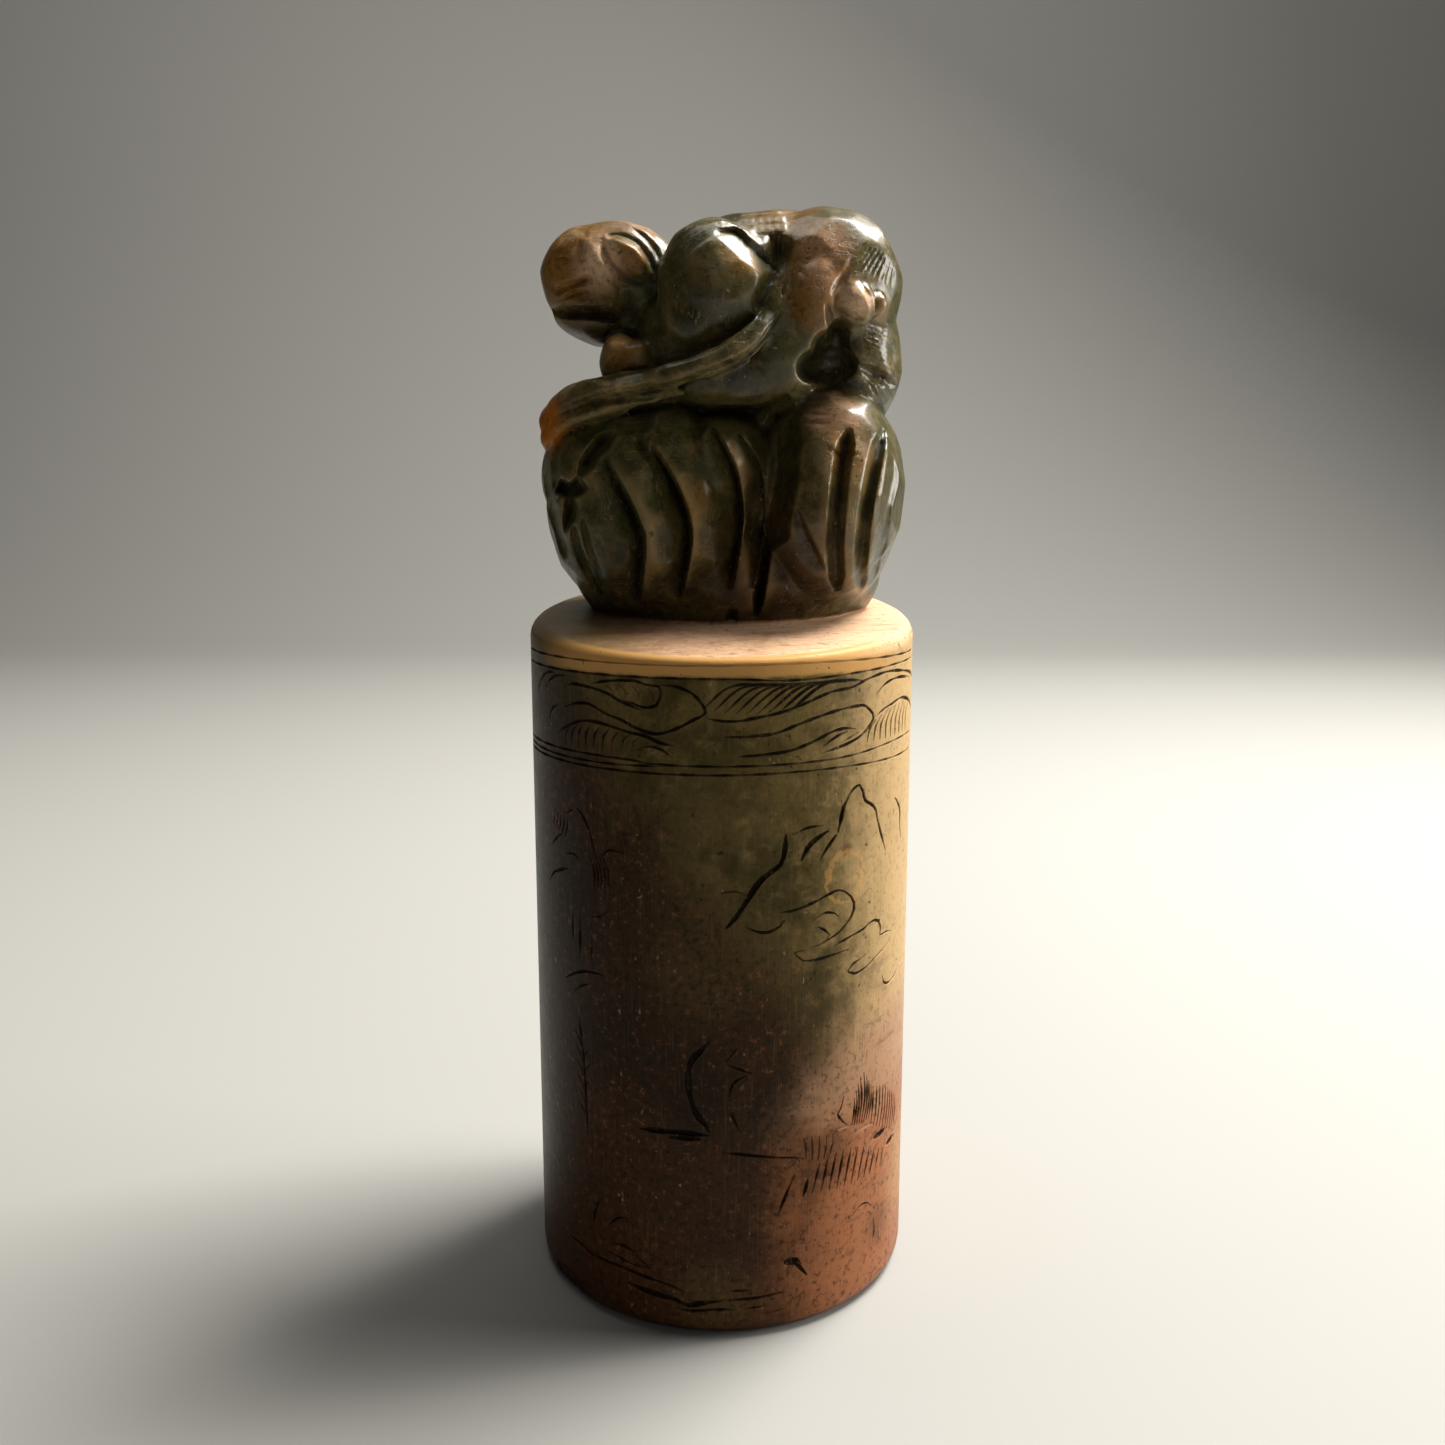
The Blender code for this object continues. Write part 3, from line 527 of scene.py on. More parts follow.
BOAT_STROKES = (
    ((1.15, 22.8), (0.3, 21.8)),
    ((0.5, 21.5), (1.7, 21), (2.2, 20.8)),
    ((1.8, 20.7), (0.9, 20.2), (0.5, 19.1)),
    ((0.6, 18.3), (0.85, 17.4), (1.4, 16.2)),
    ((0, 14.8), (1.5, 14.6), (3.1, 14.3), (4.6, 14), (5.7, 13.8), (5.9, 13.4)),
    ((9.8, 17.7), (9.5, 16.8), (9.2, 16.4), (9.7, 15.7), (10.2, 15.2)),
    ((5.5, 12.6), (4.8, 11), (4.1, 9.3)),
    ((10.9, 7.6), (11.4, 7.9), (12, 8.1), (12.8, 7.9), (13.2, 7.5)),
    ((12.3, 6.9), (12.8, 7.1), (13.2, 6.9)),
    ((13.6, 6.2), (13.8, 5.4), (13.6, 4.6)),
    ((0, 3.1), (2.4, 3.1), (4.8, 3.3)),
    ((0.6, 3.8), (2, 3.8)),
    ((1.6, 2.3), (3.2, 2.4)),
    ((3.4, 1.8), (4.8, 1.9)),
    ((-9.4, 9.7), (-10, 9.2), (-10.4, 8.3), (-10.6, 7.4), (-10.8, 6.3)),
    ((-7.2, 8.6), (-8, 8.5), (-8.9, 7.7), (-9.5, 6.9)),
    ((-7.7, 10.5), (-8, 9.8)),
    ((-8.9, 6.1), (-7.7, 6.3), (-6.9, 6.1), (-6, 6.4)),
    ((-6.9, 6.1), (-6.2, 5.5), (-5.2, 4.9), (-4.9, 4.6)),
    ((-13.8, 4.85), (-12.3, 4.8), (-10.8, 4.5), (-8.3, 4.5), (-6.9, 4.4), (-5.4, 4.2), (-4, 4),
     (-2.5, 3.5)),
    ((-3.6, 2.2), (-2.2, 2.1), (-0.6, 2.3), (1, 2.3)),
    ((-9.2, 5.4), (-8, 5.2), (-6.8, 5), (-5.6, 5.1)),
)
TREE_STROKES = (
    ((-11.7, 39.4), (-11.2, 39.1), (-10.6, 38.3), (-10.2, 37.5), (-10, 36.7), (-9.7, 35.8)),
    ((-13, 38.8), (-12, 39.3)),
    ((-15.2, 36), (-14.3, 36.7), (-13.3, 37.3)),
    ((-13, 35.7), (-12.2, 35.9), (-11.5, 35.6)),
    ((-9.3, 36), (-8.7, 36.7), (-8, 36.8), (-7.2, 36.7)),
    ((-9.7, 33.7), (-9, 34.5), (-8.5, 35)),
    ((-10.2, 31.5), (-9.3, 31.75), (-8.7, 32.2)),
    ((-15.8, 33), (-15, 33.8), (-13.3, 34.5), (-12.5, 34.7)),
    ((-10.3, 30), (-10.4, 28)),
    ((-11.5, 31.5), (-11.6, 28)),
    ((-12.4, 31.3), (-12.4, 29.3)),
    ((-13.5, 26), (-12, 26.8), (-10.7, 27.2), (-9.3, 27.25)),
    ((-12.3, 25.3), (-11.5, 25.9), (-10.5, 26.3)),
    ((-11.9, 23.4), (-11.5, 21), (-11.3, 18.2), (-11.1, 14)),
)
# Rows of short strokes: how many, how far each bows sideways, and the lines they run between
REED_HATCHES = (
    (8, 0.15, ((10.9, 17.2), (11.8, 19), (12.9, 17.6)), ((10.6, 15), (11.6, 14.9), (12.6, 14.9))),
    (10, 0.1, ((13.2, 17.4), (15.2, 16.6), (17.4, 15)), ((12.9, 14.3), (15, 13.2), (17, 12.4))),
    (5, 0.1, ((6.2, 15.3), (7.4, 15.2), (8.8, 15)), ((6.4, 13.6), (7.4, 13.2), (8.5, 13.4))),
    (11, 0, ((7.6, 13), (10.4, 13.4), (15, 11.6)), ((7, 10.8), (9.6, 10.4), (14.4, 10.2))),
    (6, 0.2, ((-12.4, 22.2), (-12.2, 19.4), (-12, 16.6)), ((-11.6, 20.9), (-11.4, 18.1), (-11.2, 15.2))),
    (5, -0.2, ((-10.6, 21.2), (-10.6, 18.6), (-10.7, 16.4)), ((-11.4, 20.2), (-11.3, 17.6), (-11.2, 15.2))),
    (5, 0.2, ((-10.4, 36.2), (-9.2, 36.4)), ((-10, 33.4), (-8.6, 34))),
    (5, 0.15, ((-14.6, 38.8), (-12.8, 38.4)), ((-14.9, 37.6), (-13.2, 37))),
)
# Plainer hills, water and reeds on the hidden side
BACK_STROKES = (
    ((20.5, 34), (22.4, 36.2), (24, 39), (25.2, 40.2), (26.4, 38.4), (27.6, 36.8), (29.4, 34.6),
     (31, 33.8)),
    ((28.6, 35.8), (30.6, 37.6), (32.4, 38.4), (33.8, 36.8), (35.6, 34.4)),
    ((-40, 33.6), (-37.6, 36.4), (-35.6, 39.2), (-34, 39.6), (-32.6, 37.4), (-30.6, 35), (-28, 33.4)),
    ((-30.4, 35.2), (-27.8, 36.6), (-25.8, 36), (-23.8, 34)),
    ((22, 28.6), (25, 29.2), (28.4, 28.8), (31.6, 29.3)),
    ((-36, 27.4), (-32, 28), (-28.6, 27.5), (-25.4, 27.9)),
    ((38, 22.6), (37, 21), (36.8, 19), (37.8, 17.2)),
    ((34.6, 16.6), (38.4, 16.8), (41.6, 16.5)),
    ((24, 8.4), (27.6, 8.8), (31.4, 8.3), (35, 8.6)),
    ((-41, 12.2), (-37, 12.7), (-33, 12.3), (-29.6, 12.6)),
    ((-30, 6.2), (-26.4, 6.6), (-22.8, 6.1)),
    ((20.6, 3.6), (25, 3.9), (30, 3.6), (36, 3.9), (42, 3.6)),
)
BACK_REED_HATCHES = (
    (7, 0.15, ((-38.6, 17.6), (-36, 18.6), (-33.4, 16.8)), ((-38.2, 13.4), (-36, 13.2), (-33.6, 13))),
    (5, 0.1, ((27, 13.6), (30, 13)), ((26.8, 10), (29.6, 9.8))),
)
# Chips in the stone: s, z, half sizes along s, z and into the stone
CHIPS = (
    (-13.6, 0.6, 3.4, 1.3, 0.5),
    (12.2, 14.3, 1.6, 0.15, 0.12),
    (9.9, 15.1, 1, 0.13, 0.1),
    (14.4, 13, 1.2, 0.3, 0.16),
    (16.4, 11.6, 1, 0.3, 0.14),
    (5.3, 5.6, 0.7, 0.35, 0.2),
    (-2.7, 15.8, 1.3, 0.16, 0.12),
)


# Modelling
def deselect():
    bpy.ops.object.select_all(action="DESELECT")


def take(pieces):
    """Select these pieces alone, the first of them active."""
    deselect()
    for piece in pieces:
        piece.select_set(True)
    bpy.context.view_layer.objects.active = pieces[0]


@contextmanager
def edit_mode():
    """Edit mode for the selected pieces, and object mode again after it."""
    bpy.ops.object.mode_set(mode="EDIT")
    yield
    bpy.ops.object.mode_set(mode="OBJECT")


def join(pieces, name):
    take(pieces)
    bpy.ops.object.join()
    piece = bpy.context.object
    piece.name = name
    bpy.ops.object.transform_apply()
    return piece


def finish(piece, kind, **settings):
    """Add a modifier with these settings and apply it."""
    take([piece])
    modifier = piece.modifiers.new(kind.lower(), kind)
    for setting, value in settings.items():
        setattr(modifier, setting, value)
    bpy.ops.object.modifier_apply(modifier=modifier.name)


def round_edges(piece, width, steps, share):
    """Round each edge by the share of the width that share says for it."""
    weights = piece.data.attributes.new("bevel_weight_edge", "FLOAT", "EDGE")
    for edge in piece.data.edges:
        weights.data[edge.index].value = share(edge)
    finish(piece, "BEVEL", width=width, segments=steps, limit_method="WEIGHT")


def to_metres(piece):
    take([piece])
    piece.scale = (MM, MM, MM)
    bpy.ops.object.transform_apply()


def pick_edges(mesh, wanted):
    """Select the edges that wanted says True for, and nothing else of the mesh."""
    for items in (mesh.polygons, mesh.vertices):
        for item in items:
            item.select = False
    for edge in mesh.edges:
        edge.select = wanted(edge)
    bpy.context.tool_settings.mesh_select_mode = (False, True, False)


def merge_doubles(pieces, gap):
    take(pieces)
    with edit_mode():
        bpy.ops.mesh.select_all(action="SELECT")
        bpy.ops.mesh.remove_doubles(threshold=gap)
        bpy.ops.mesh.normals_make_consistent(inside=False)


def add_lump(centre, half_sizes, turn=(0, 0, 0), rounds=4):
    bpy.ops.mesh.primitive_ico_sphere_add(
        subdivisions=rounds,
        radius=1.0,
        location=centre,
        rotation=[math.radians(angle) for angle in turn],
        scale=half_sizes,
    )
    return bpy.context.object


def make_knob():
    deselect()
    lumps = [add_lump(*mass) for mass in (*FRUIT.values(), *BEAST.values())]
    for stations in LIMBS.values():
        for x, y, z, radius in smooth_path(stations, PATH_STEP):
            lumps.append(add_lump((x, y, z), (radius, radius, radius), rounds=3))
    knob = join(lumps, "knob")
    finish(knob, "REMESH", mode="VOXEL", voxel_size=SKIN_STEP)
    for hollow in HOLLOWS.values():
        tool = add_lump(*hollow)
        finish(knob, "BOOLEAN", operation="DIFFERENCE", object=tool, solver="MANIFOLD")
        bpy.data.objects.remove(tool)
    finish(knob, "REMESH", mode="VOXEL", voxel_size=SKIN_STEP)
    finish(knob, "SMOOTH", factor=0.5, iterations=SOFTENING)
    front_cuts = [*FRUIT_CUTS, *BEAST_CUTS, *HEAD_CUTS, *strand_cuts(STRANDS), *hatch_cuts(HATCHES)]
    back_cuts = [*BACK_CUTS, *rib_cuts(), *strand_cuts(BACK_STRANDS), *hatch_cuts(BACK_HATCHES)]
    add_tool_marks(knob)
    carve(knob, front_cuts, FRONT_EYE)
    carve(knob, back_cuts, BACK_EYE)
    finish(knob, "SMOOTH", factor=0.5, iterations=CUT_SOFTENING)
    mark_hollows(knob)
    thin_out(knob)
    return knob


def add_tool_marks(knob):
    """Shallow scoops with crisp edges between them, as a blade leaves them."""
    scoops = bpy.data.textures.new("scoops", "VORONOI")
    scoops.noise_scale = SCOOP_SIZE
    scoops.distance_metric = "DISTANCE"
    settings = {"strength": SCOOP_DEPTH, "mid_level": SCOOP_REST, "texture_coords": "LOCAL"}
    finish(knob, "DISPLACE", texture=scoops, **settings)
    bpy.data.textures.remove(scoops)


def thin_out(knob):
    """Cut the skin down to KNOB_TRIANGLES, its far side first."""
    group = knob.vertex_groups.new(name="far_side")
    near = [corner.index for corner in knob.data.vertices if corner.co.y < FAR_SIDE]
    far = [corner.index for corner in knob.data.vertices if corner.co.y >= FAR_SIDE]
    group.add(near, NEAR_SIDE_WEIGHT, "REPLACE")
    group.add(far, 1.0, "REPLACE")
    triangles = sum(len(face.vertices) - 2 for face in knob.data.polygons)
    ratio = KNOB_TRIANGLES / triangles
    finish(knob, "DECIMATE", ratio=ratio, vertex_group=group.name, vertex_group_factor=NEAR_SIDE_CARE)


def mark_hollows(knob):
    """Keep how far each point lies below the skin around it, in millimetres, as an attribute."""
    mesh = knob.data
    points = mesh_array(mesh.vertices, "co")
    normals = mesh_array(mesh.vertex_normals, "vector")
    around = np.stack([even_out(mesh, column, HOLLOW_REACH) for column in points.T], axis=1)
    hollow = mesh.attributes.new("hollow", "FLOAT", "POINT")
    hollow.data.foreach_set("value", ((around - points) * normals).sum(1).astype(np.float32))


def on_column(s, z):
    angle = s / COLUMN_RADIUS
    return COLUMN_RADIUS * math.sin(angle), -COLUMN_RADIUS * math.cos(angle), z


def rim_round(x):
    return RIM_ROUND_FRONT + (RIM_ROUND_SIDES - RIM_ROUND_FRONT) * (x / COLUMN_RADIUS) ** 2


def edge_drop(mesh, edge):
    """How much higher one end of an edge is than the other."""
    start, end = (mesh.vertices[number].co for number in edge.vertices)
    return abs(start.z - end.z)


def make_column():
    """The column with its ledge sloping down to the front and both its rims rounded."""
    deselect()
    bpy.ops.mesh.primitive_cylinder_add(
        vertices=COLUMN_SIDES, radius=COLUMN_RADIUS, depth=LEDGE_HEIGHT, location=(0, 0, LEDGE_HEIGHT / 2)
    )
    column = bpy.context.object
    bpy.ops.object.transform_apply()
    mesh = column.data
    for corner in mesh.vertices:
        if corner.co.z > LEDGE_HEIGHT / 2:
            corner.co.z += LEDGE_SLOPE * corner.co.y

    def rim_share(edge):
        start = mesh.vertices[edge.vertices[0]].co
        if edge_drop(mesh, edge) > LEDGE_HEIGHT / 2:
            return 0
        return rim_round(start.x) / FOOT_ROUND if start.z > LEDGE_HEIGHT / 2 else 1

    round_edges(column, FOOT_ROUND, ROUND_STEPS, rim_share)
    pick_edges(mesh, lambda edge: edge_drop(mesh, edge) > LEDGE_HEIGHT / 2)
    take([column])
    with edit_mode():
        bpy.ops.mesh.subdivide(number_cuts=COLUMN_ROWS - 1)
    return column


def add_stroke(line, half_width, cutters):
    """A thin tube that lies half sunk in the column along the stroke, thinner at its ends."""
    path = smooth_path(line, STROKE_STEP)
    curve = bpy.data.curves.new("stroke", "CURVE")
    curve.dimensions = "3D"
    curve.bevel_depth = half_width
    curve.bevel_resolution = STROKE_SIDES - 1
    curve.use_fill_caps = True
    spline = curve.splines.new("POLY")
    spline.points.add(len(path) - 1)
    travelled = distance_along(path)
    for point, (s, z), gone in zip(spline.points, path, travelled):
        point.co = (*on_column(s, z), 1)
        to_end = min(gone, travelled[-1] - gone)
        point.radius = min(1, THIN_END + (1 - THIN_END) * to_end / STROKE_TAPER)
        point.radius *= 1 + HAND_WOBBLE * math.sin(WOBBLE_ALONG * gone + WOBBLE_UP * z)
    stroke = bpy.data.objects.new("stroke", curve)
    cutters.objects.link(stroke)


def hatch_lines(rows):
    """Short strokes that cross from a row's first line to its last, bowed sideways."""
    lines = []
    for count, bow, first, last in rows:
        for start, end in zip(spread(first, count), spread(last, count)):
            way = end - start
            side = np.array((-way[1], way[0]))
            lines.append((start, (start + end) / 2 + side * bow / 2, end))
    return lines


def shifted(line, s):
    return [(point[0] + s, point[1]) for point in line]


def add_chip(s, z, along, up, deep, cutters):
    """A lump with an uneven skin, half sunk in the column."""
    chip = add_lump(on_column(s, z), (along, deep, up), (0, 0, math.degrees(s / COLUMN_RADIUS)))
    with edit_mode():
        bpy.ops.transform.vertex_random(offset=deep * CHIP_ROUGHNESS, seed=int(abs(s) * 10))
    cutters.objects.link(chip)


def engrave(column):
    """Cut all the strokes and the chips out of the column."""
    cutters = bpy.data.collections.new("engraving")
    bpy.context.scene.collection.children.link(cutters)
    thin = [*BAND_STROKES, *LANDSCAPE_STROKES, *BOAT_STROKES, *TREE_STROKES, *BACK_STROKES]
    thin += hatch_lines([*BAND_HATCHES, *REED_HATCHES, *BACK_REED_HATCHES])
    for place in BACK_LEAVES:
        thin += [shifted(line, place) for line in (*LEAF_STROKES, *hatch_lines(LEAF_HATCHES))]
    widths = ((thin, LINE_HALF_WIDTH), (RING_STROKES, RING_HALF_WIDTH), (THICK_STROKES, BOLD_HALF_WIDTH))
    for lines, half_width in widths:
        for line in lines:
            add_stroke(line, half_width, cutters)
    strokes = list(cutters.objects)
    take(strokes)
    bpy.ops.object.convert(target="MESH")
    merge_doubles(strokes, MERGE_GAP)
    for chip in CHIPS:
        add_chip(*chip, cutters)
    settings = {"operation": "DIFFERENCE", "operand_type": "COLLECTION", "solver": "MANIFOLD"}
    finish(column, "BOOLEAN", collection=cutters, **settings)
    for cutter in list(cutters.objects):
        bpy.data.objects.remove(cutter)
    bpy.data.collections.remove(cutters)


# Shading
def operator(operation, swapped=False):
    """A method that joins a socket and another value in a Math node."""

    def join_values(self, other):
        values = (other, self) if swapped else (self, other)
        return self.shader.node("ShaderNodeMath", {"operation": operation}, dict(enumerate(values)))

    return join_values


class Socket:
    """One output of a material's nodes, with Python's arithmetic turned into Math nodes."""

    def __init__(self, shader, output):
        self.shader = shader
        self.output = output

    __add__ = operator("ADD")
    __radd__ = operator("ADD")
    __sub__ = operator("SUBTRACT")
    __rsub__ = operator("SUBTRACT", swapped=True)
    __mul__ = operator("MULTIPLY")
    __truediv__ = operator("DIVIDE")
    __pow__ = operator("POWER")
    most = operator("MAXIMUM")

    def __neg__(self):
        return self * -1


class Shader:
    """A material whose nodes are added one call at a time."""

    def __init__(self, name):
        self.material = bpy.data.materials.new(name)
        self.material.use_nodes = True
        self.tree = self.material.node_tree
        self.surface = self.tree.nodes["Principled BSDF"]

    def node(self, kind, settings=None, inputs=None, output=0):
        node = self.tree.nodes.new(kind)
        for setting, value in (settings or {}).items():
            setattr(node, setting, value)
        for name, value in (inputs or {}).items():
            self.feed(node.inputs[name], value)
        return Socket(self, node.outputs[output])

    def feed(self, socket, value):
        if isinstance(value, Socket):
            self.tree.links.new(value.output, socket)
        else:
            socket.default_value = value

    def noise(self, place, size, detail, roughness, distortion=0.0):
        """Soft noise from 0 to 1 whose lumps are about size millimetres across."""
        values = {"Vector": place, "Scale": 1 / size, "Detail": detail}
        values.update({"Roughness": roughness, "Distortion": distortion})
        return self.node("ShaderNodeTexNoise", {}, values)

    def ramp(self, value, low, high):
        """0 below low, 1 above high and a soft step between."""
        settings = {"interpolation_type": "SMOOTHSTEP"}
        values = {"Value": value, "From Min": low, "From Max": high}
        return self.node("ShaderNodeMapRange", settings, values)

    def vector(self, operation, *values, output="Vector"):
        settings = {"operation": operation}
        return self.node("ShaderNodeVectorMath", settings, dict(enumerate(values)), output)

    def scaled(self, place, scale):
        return self.node("ShaderNodeVectorMath", {"operation": "SCALE"}, {0: place, "Scale": scale})

    def stretched(self, place, scale):
        return self.vector("MULTIPLY", place, scale)

    def distance(self, place, point):
        return self.vector("DISTANCE", place, point, output="Value")

    def blend(self, share, first, second):
        """The first colour turning into the second."""
        settings = {"data_type": "RGBA", "clamp_factor": True}
        return self.node("ShaderNodeMix", settings, {0: share, 6: colour(first), 7: colour(second)}, 2)

    def tinted(self, base, tint, value, low, high, share=1.0):
        """The base colour, turning into the tint up to a share as the value goes from low to high."""
        return self.blend(self.ramp(value, low, high) * share, base, tint)


def colour(value):
    return value if isinstance(value, Socket) else (*value, 1.0)


# Colours of the stone, as linear red, green and blue
MOSS = (0.042, 0.042, 0.012)
OLIVE = (0.046, 0.035, 0.009)
KHAKI = (0.135, 0.095, 0.031)
TAN = (0.480, 0.320, 0.145)
BROWN = (0.034, 0.0160, 0.0055)
DARK_BROWN = (0.010, 0.0055, 0.0022)
RED_BROWN = (0.064, 0.0250, 0.0085)
TERRACOTTA = (0.320, 0.120, 0.050)
CREAM = (0.700, 0.465, 0.300)
OCHRE = (0.520, 0.280, 0.085)
AMBER = (0.220, 0.100, 0.019)
ORANGE = (0.360, 0.110, 0.004)
PINK_BROWN = (0.380, 0.215, 0.120)
# Dirt in the engraving and its pits, and also painted shade in the knob's hollows and under its overhangs
DIRT_AND_SHADE = (0.007, 0.0045, 0.0025)
DUST = (0.340, 0.270, 0.170)

# A ring-shaped stain over the hill, and how the saw's lines run across the ledge
STAIN = (9.0, -12.0, 34.6)
SAW_ANGLE = 14
SAW_STRETCH = 24
# Soft patches of colour: centre, radius and strength
COLUMN_PATCHES = (
    (DARK_BROWN, (-13, -7.5, 33), 9, 0.6),
    (DARK_BROWN, (-2, -15, 19.5), 4, 0.5),
    (DARK_BROWN, (4, -14.4, 18), 3, 0.45),
    (DARK_BROWN, (-8, -12.6, 22), 5, 0.4),
    (DARK_BROWN, (-9, 12, 22), 7, 0.4),
    (DARK_BROWN, (0.5, -15, 7), 5, 0.3),
    (DARK_BROWN, (-12, -9, 47), 5, 0.5),
    (KHAKI, (-13.6, -6.2, 11.6), 3, 0.3),
    (KHAKI, (3, -14.7, 41), 5, 0.3),
    # A tan patch on the right edge, partly painted light
    (TAN, (14.6, -4, 9), 6, 0.3),
    (KHAKI, (-1, -15, 29), 6, 0.25),
    (KHAKI, (0, -15, 3), 4, 0.3),
    (RED_BROWN, (-9, -12, 15), 6, 0.5),
    (RED_BROWN, (9, -12, 36.7), 0.8, 0.6),
    (BROWN, (8, -12.7, 13), 3.6, 0.5),
    (BROWN, (12.2, -8.8, 5.6), 2.6, 0.4),
)
KNOB_PATCHES = (
    (AMBER, (-11, 0, 79), 4.6, 0.9),
    # The cheek: pink-brown, and on it a cream painted highlight
    (PINK_BROWN, (-9.3, -1.6, 78.7), 2.5, 0.8),
    (CREAM, (-8.7, -2, 79.2), 1.9, 0.85),
    (AMBER, (-6.6, -2.2, 79.4), 1.6, 0.9),
    (PINK_BROWN, (-6, 1, 82), 3, 0.6),
    # Painted shade under the jaw
    (DARK_BROWN, (-10, 0, 74.6), 3, 0.85),
    (AMBER, (1.6, -5.6, 79), 2, 0.7),
    (AMBER, (7, -4.5, 78), 3.4, 0.85),
    # Painted light in the next five: two painted highlights on the haunch, a lighter valley, two on the toe
    (PINK_BROWN, (7.8, -4, 80), 2.6, 0.6),
    (PINK_BROWN, (7, -5, 76.8), 2, 0.7),
    (KHAKI, (4.9, -4.6, 76.4), 1.6, 0.6),
    (PINK_BROWN, (10, -5.2, 76), 1.9, 0.8),
    (CREAM, (9.7, -5.3, 76), 1.5, 0.85),
    (TAN, (5.2, -4.6, 78.6), 1.4, 0.3),
    (AMBER, (6.6, -5.4, 75.2), 2.4, 0.7),
    (AMBER, (4.5, -1, 82.5), 3.5, 0.5),
    (AMBER, (12.4, -3.4, 75), 1.8, 0.7),
    (ORANGE, (-13.2, -0.5, 67.6), 3.2, 0.95),
    (RED_BROWN, (-11.5, -2.5, 68.7), 1.6, 0.6),
    (TAN, (-11.5, -2, 70), 1.6, 0.5),
    (AMBER, (-7.6, -3, 72.4), 2.2, 0.7),
    # Painted shade under the shoulder, under the band and in the cave under the haunch
    (DARK_BROWN, (-1, -6.4, 75), 3.2, 0.6),
    (DIRT_AND_SHADE, (1.6, -6, 70), 2.6, 0.8),
    (DIRT_AND_SHADE, (8.2, -3, 71.6), 2.6, 0.9),
    (PINK_BROWN, (-1.8, -7.6, 66), 2.2, 0.6),
    # A painted highlight on a flat facet at the top of the left fruit
    (PINK_BROWN, (1.8, -7.4, 65), 2.2, 0.7),
    (MOSS, (-6.5, -6.5, 61.5), 5, 0.9),
    (KHAKI, (-0.4, -6.6, 78), 2.6, 0.5),
    # Painted shade in the gap between the fruit
    (DIRT_AND_SHADE, (3.9, -5.5, 63), 2.4, 0.6),
    # A painted highlight on the right fruit's top
    (PINK_BROWN, (8.4, -5.8, 68.6), 3.4, 0.7),
    (OLIVE, (12, -4.6, 63), 3, 0.4),
    (AMBER, (-2.2, -7.4, 61.4), 2.2, 0.55),
    (AMBER, (9.5, -7, 65), 3.4, 0.5),
    (BROWN, (4, -6, 56), 7.5, 0.8),
    (DARK_BROWN, (-6, -5.5, 55), 5, 0.5),
)


class Stone(Shader):
    """The soapstone, with places on it in millimetres and the noises that its parts share."""

    def __init__(self):
        super().__init__("soapstone")
        metres = self.node("ShaderNodeTexCoord", output="Object")
        self.place = self.scaled(metres, 1 / MM)
        parts = self.node("ShaderNodeSeparateXYZ", {}, {0: self.place})
        self.x, self.y, self.z = (Socket(self, output) for output in parts.output.node.outputs)
        self.cloud = self.noise(self.place, 7.0, 4.0, 0.6, 0.8)
        self.mottle = self.noise(self.place, 1.6, 5.0, 0.65, 0.4)
        self.freckle = self.noise(self.place, 0.5, 4.0, 0.7)
        turn = (0, 0, math.radians(SAW_ANGLE))
        values = {"Vector": self.place, "Rotation": turn, "Scale": (SAW_STRETCH, 1.0, 1.0)}
        strokes = self.node("ShaderNodeMapping", {"vector_type": "TEXTURE"}, values)
        self.sawn = self.noise(strokes, 0.2, 4.0, 0.7)
        self.hollow = self.node("ShaderNodeAttribute", {"attribute_name": "hollow"}, output="Fac")
        self.radius = (self.x * self.x + self.y * self.y) ** 0.5
        self.above_ledge = self.z - LEDGE_HEIGHT - self.y * LEDGE_SLOPE
        self.is_knob = self.ramp(self.above_ledge, 0.08, 0.35)
        self.is_side = 1 - self.ramp(self.above_ledge, -1.4, -0.25)


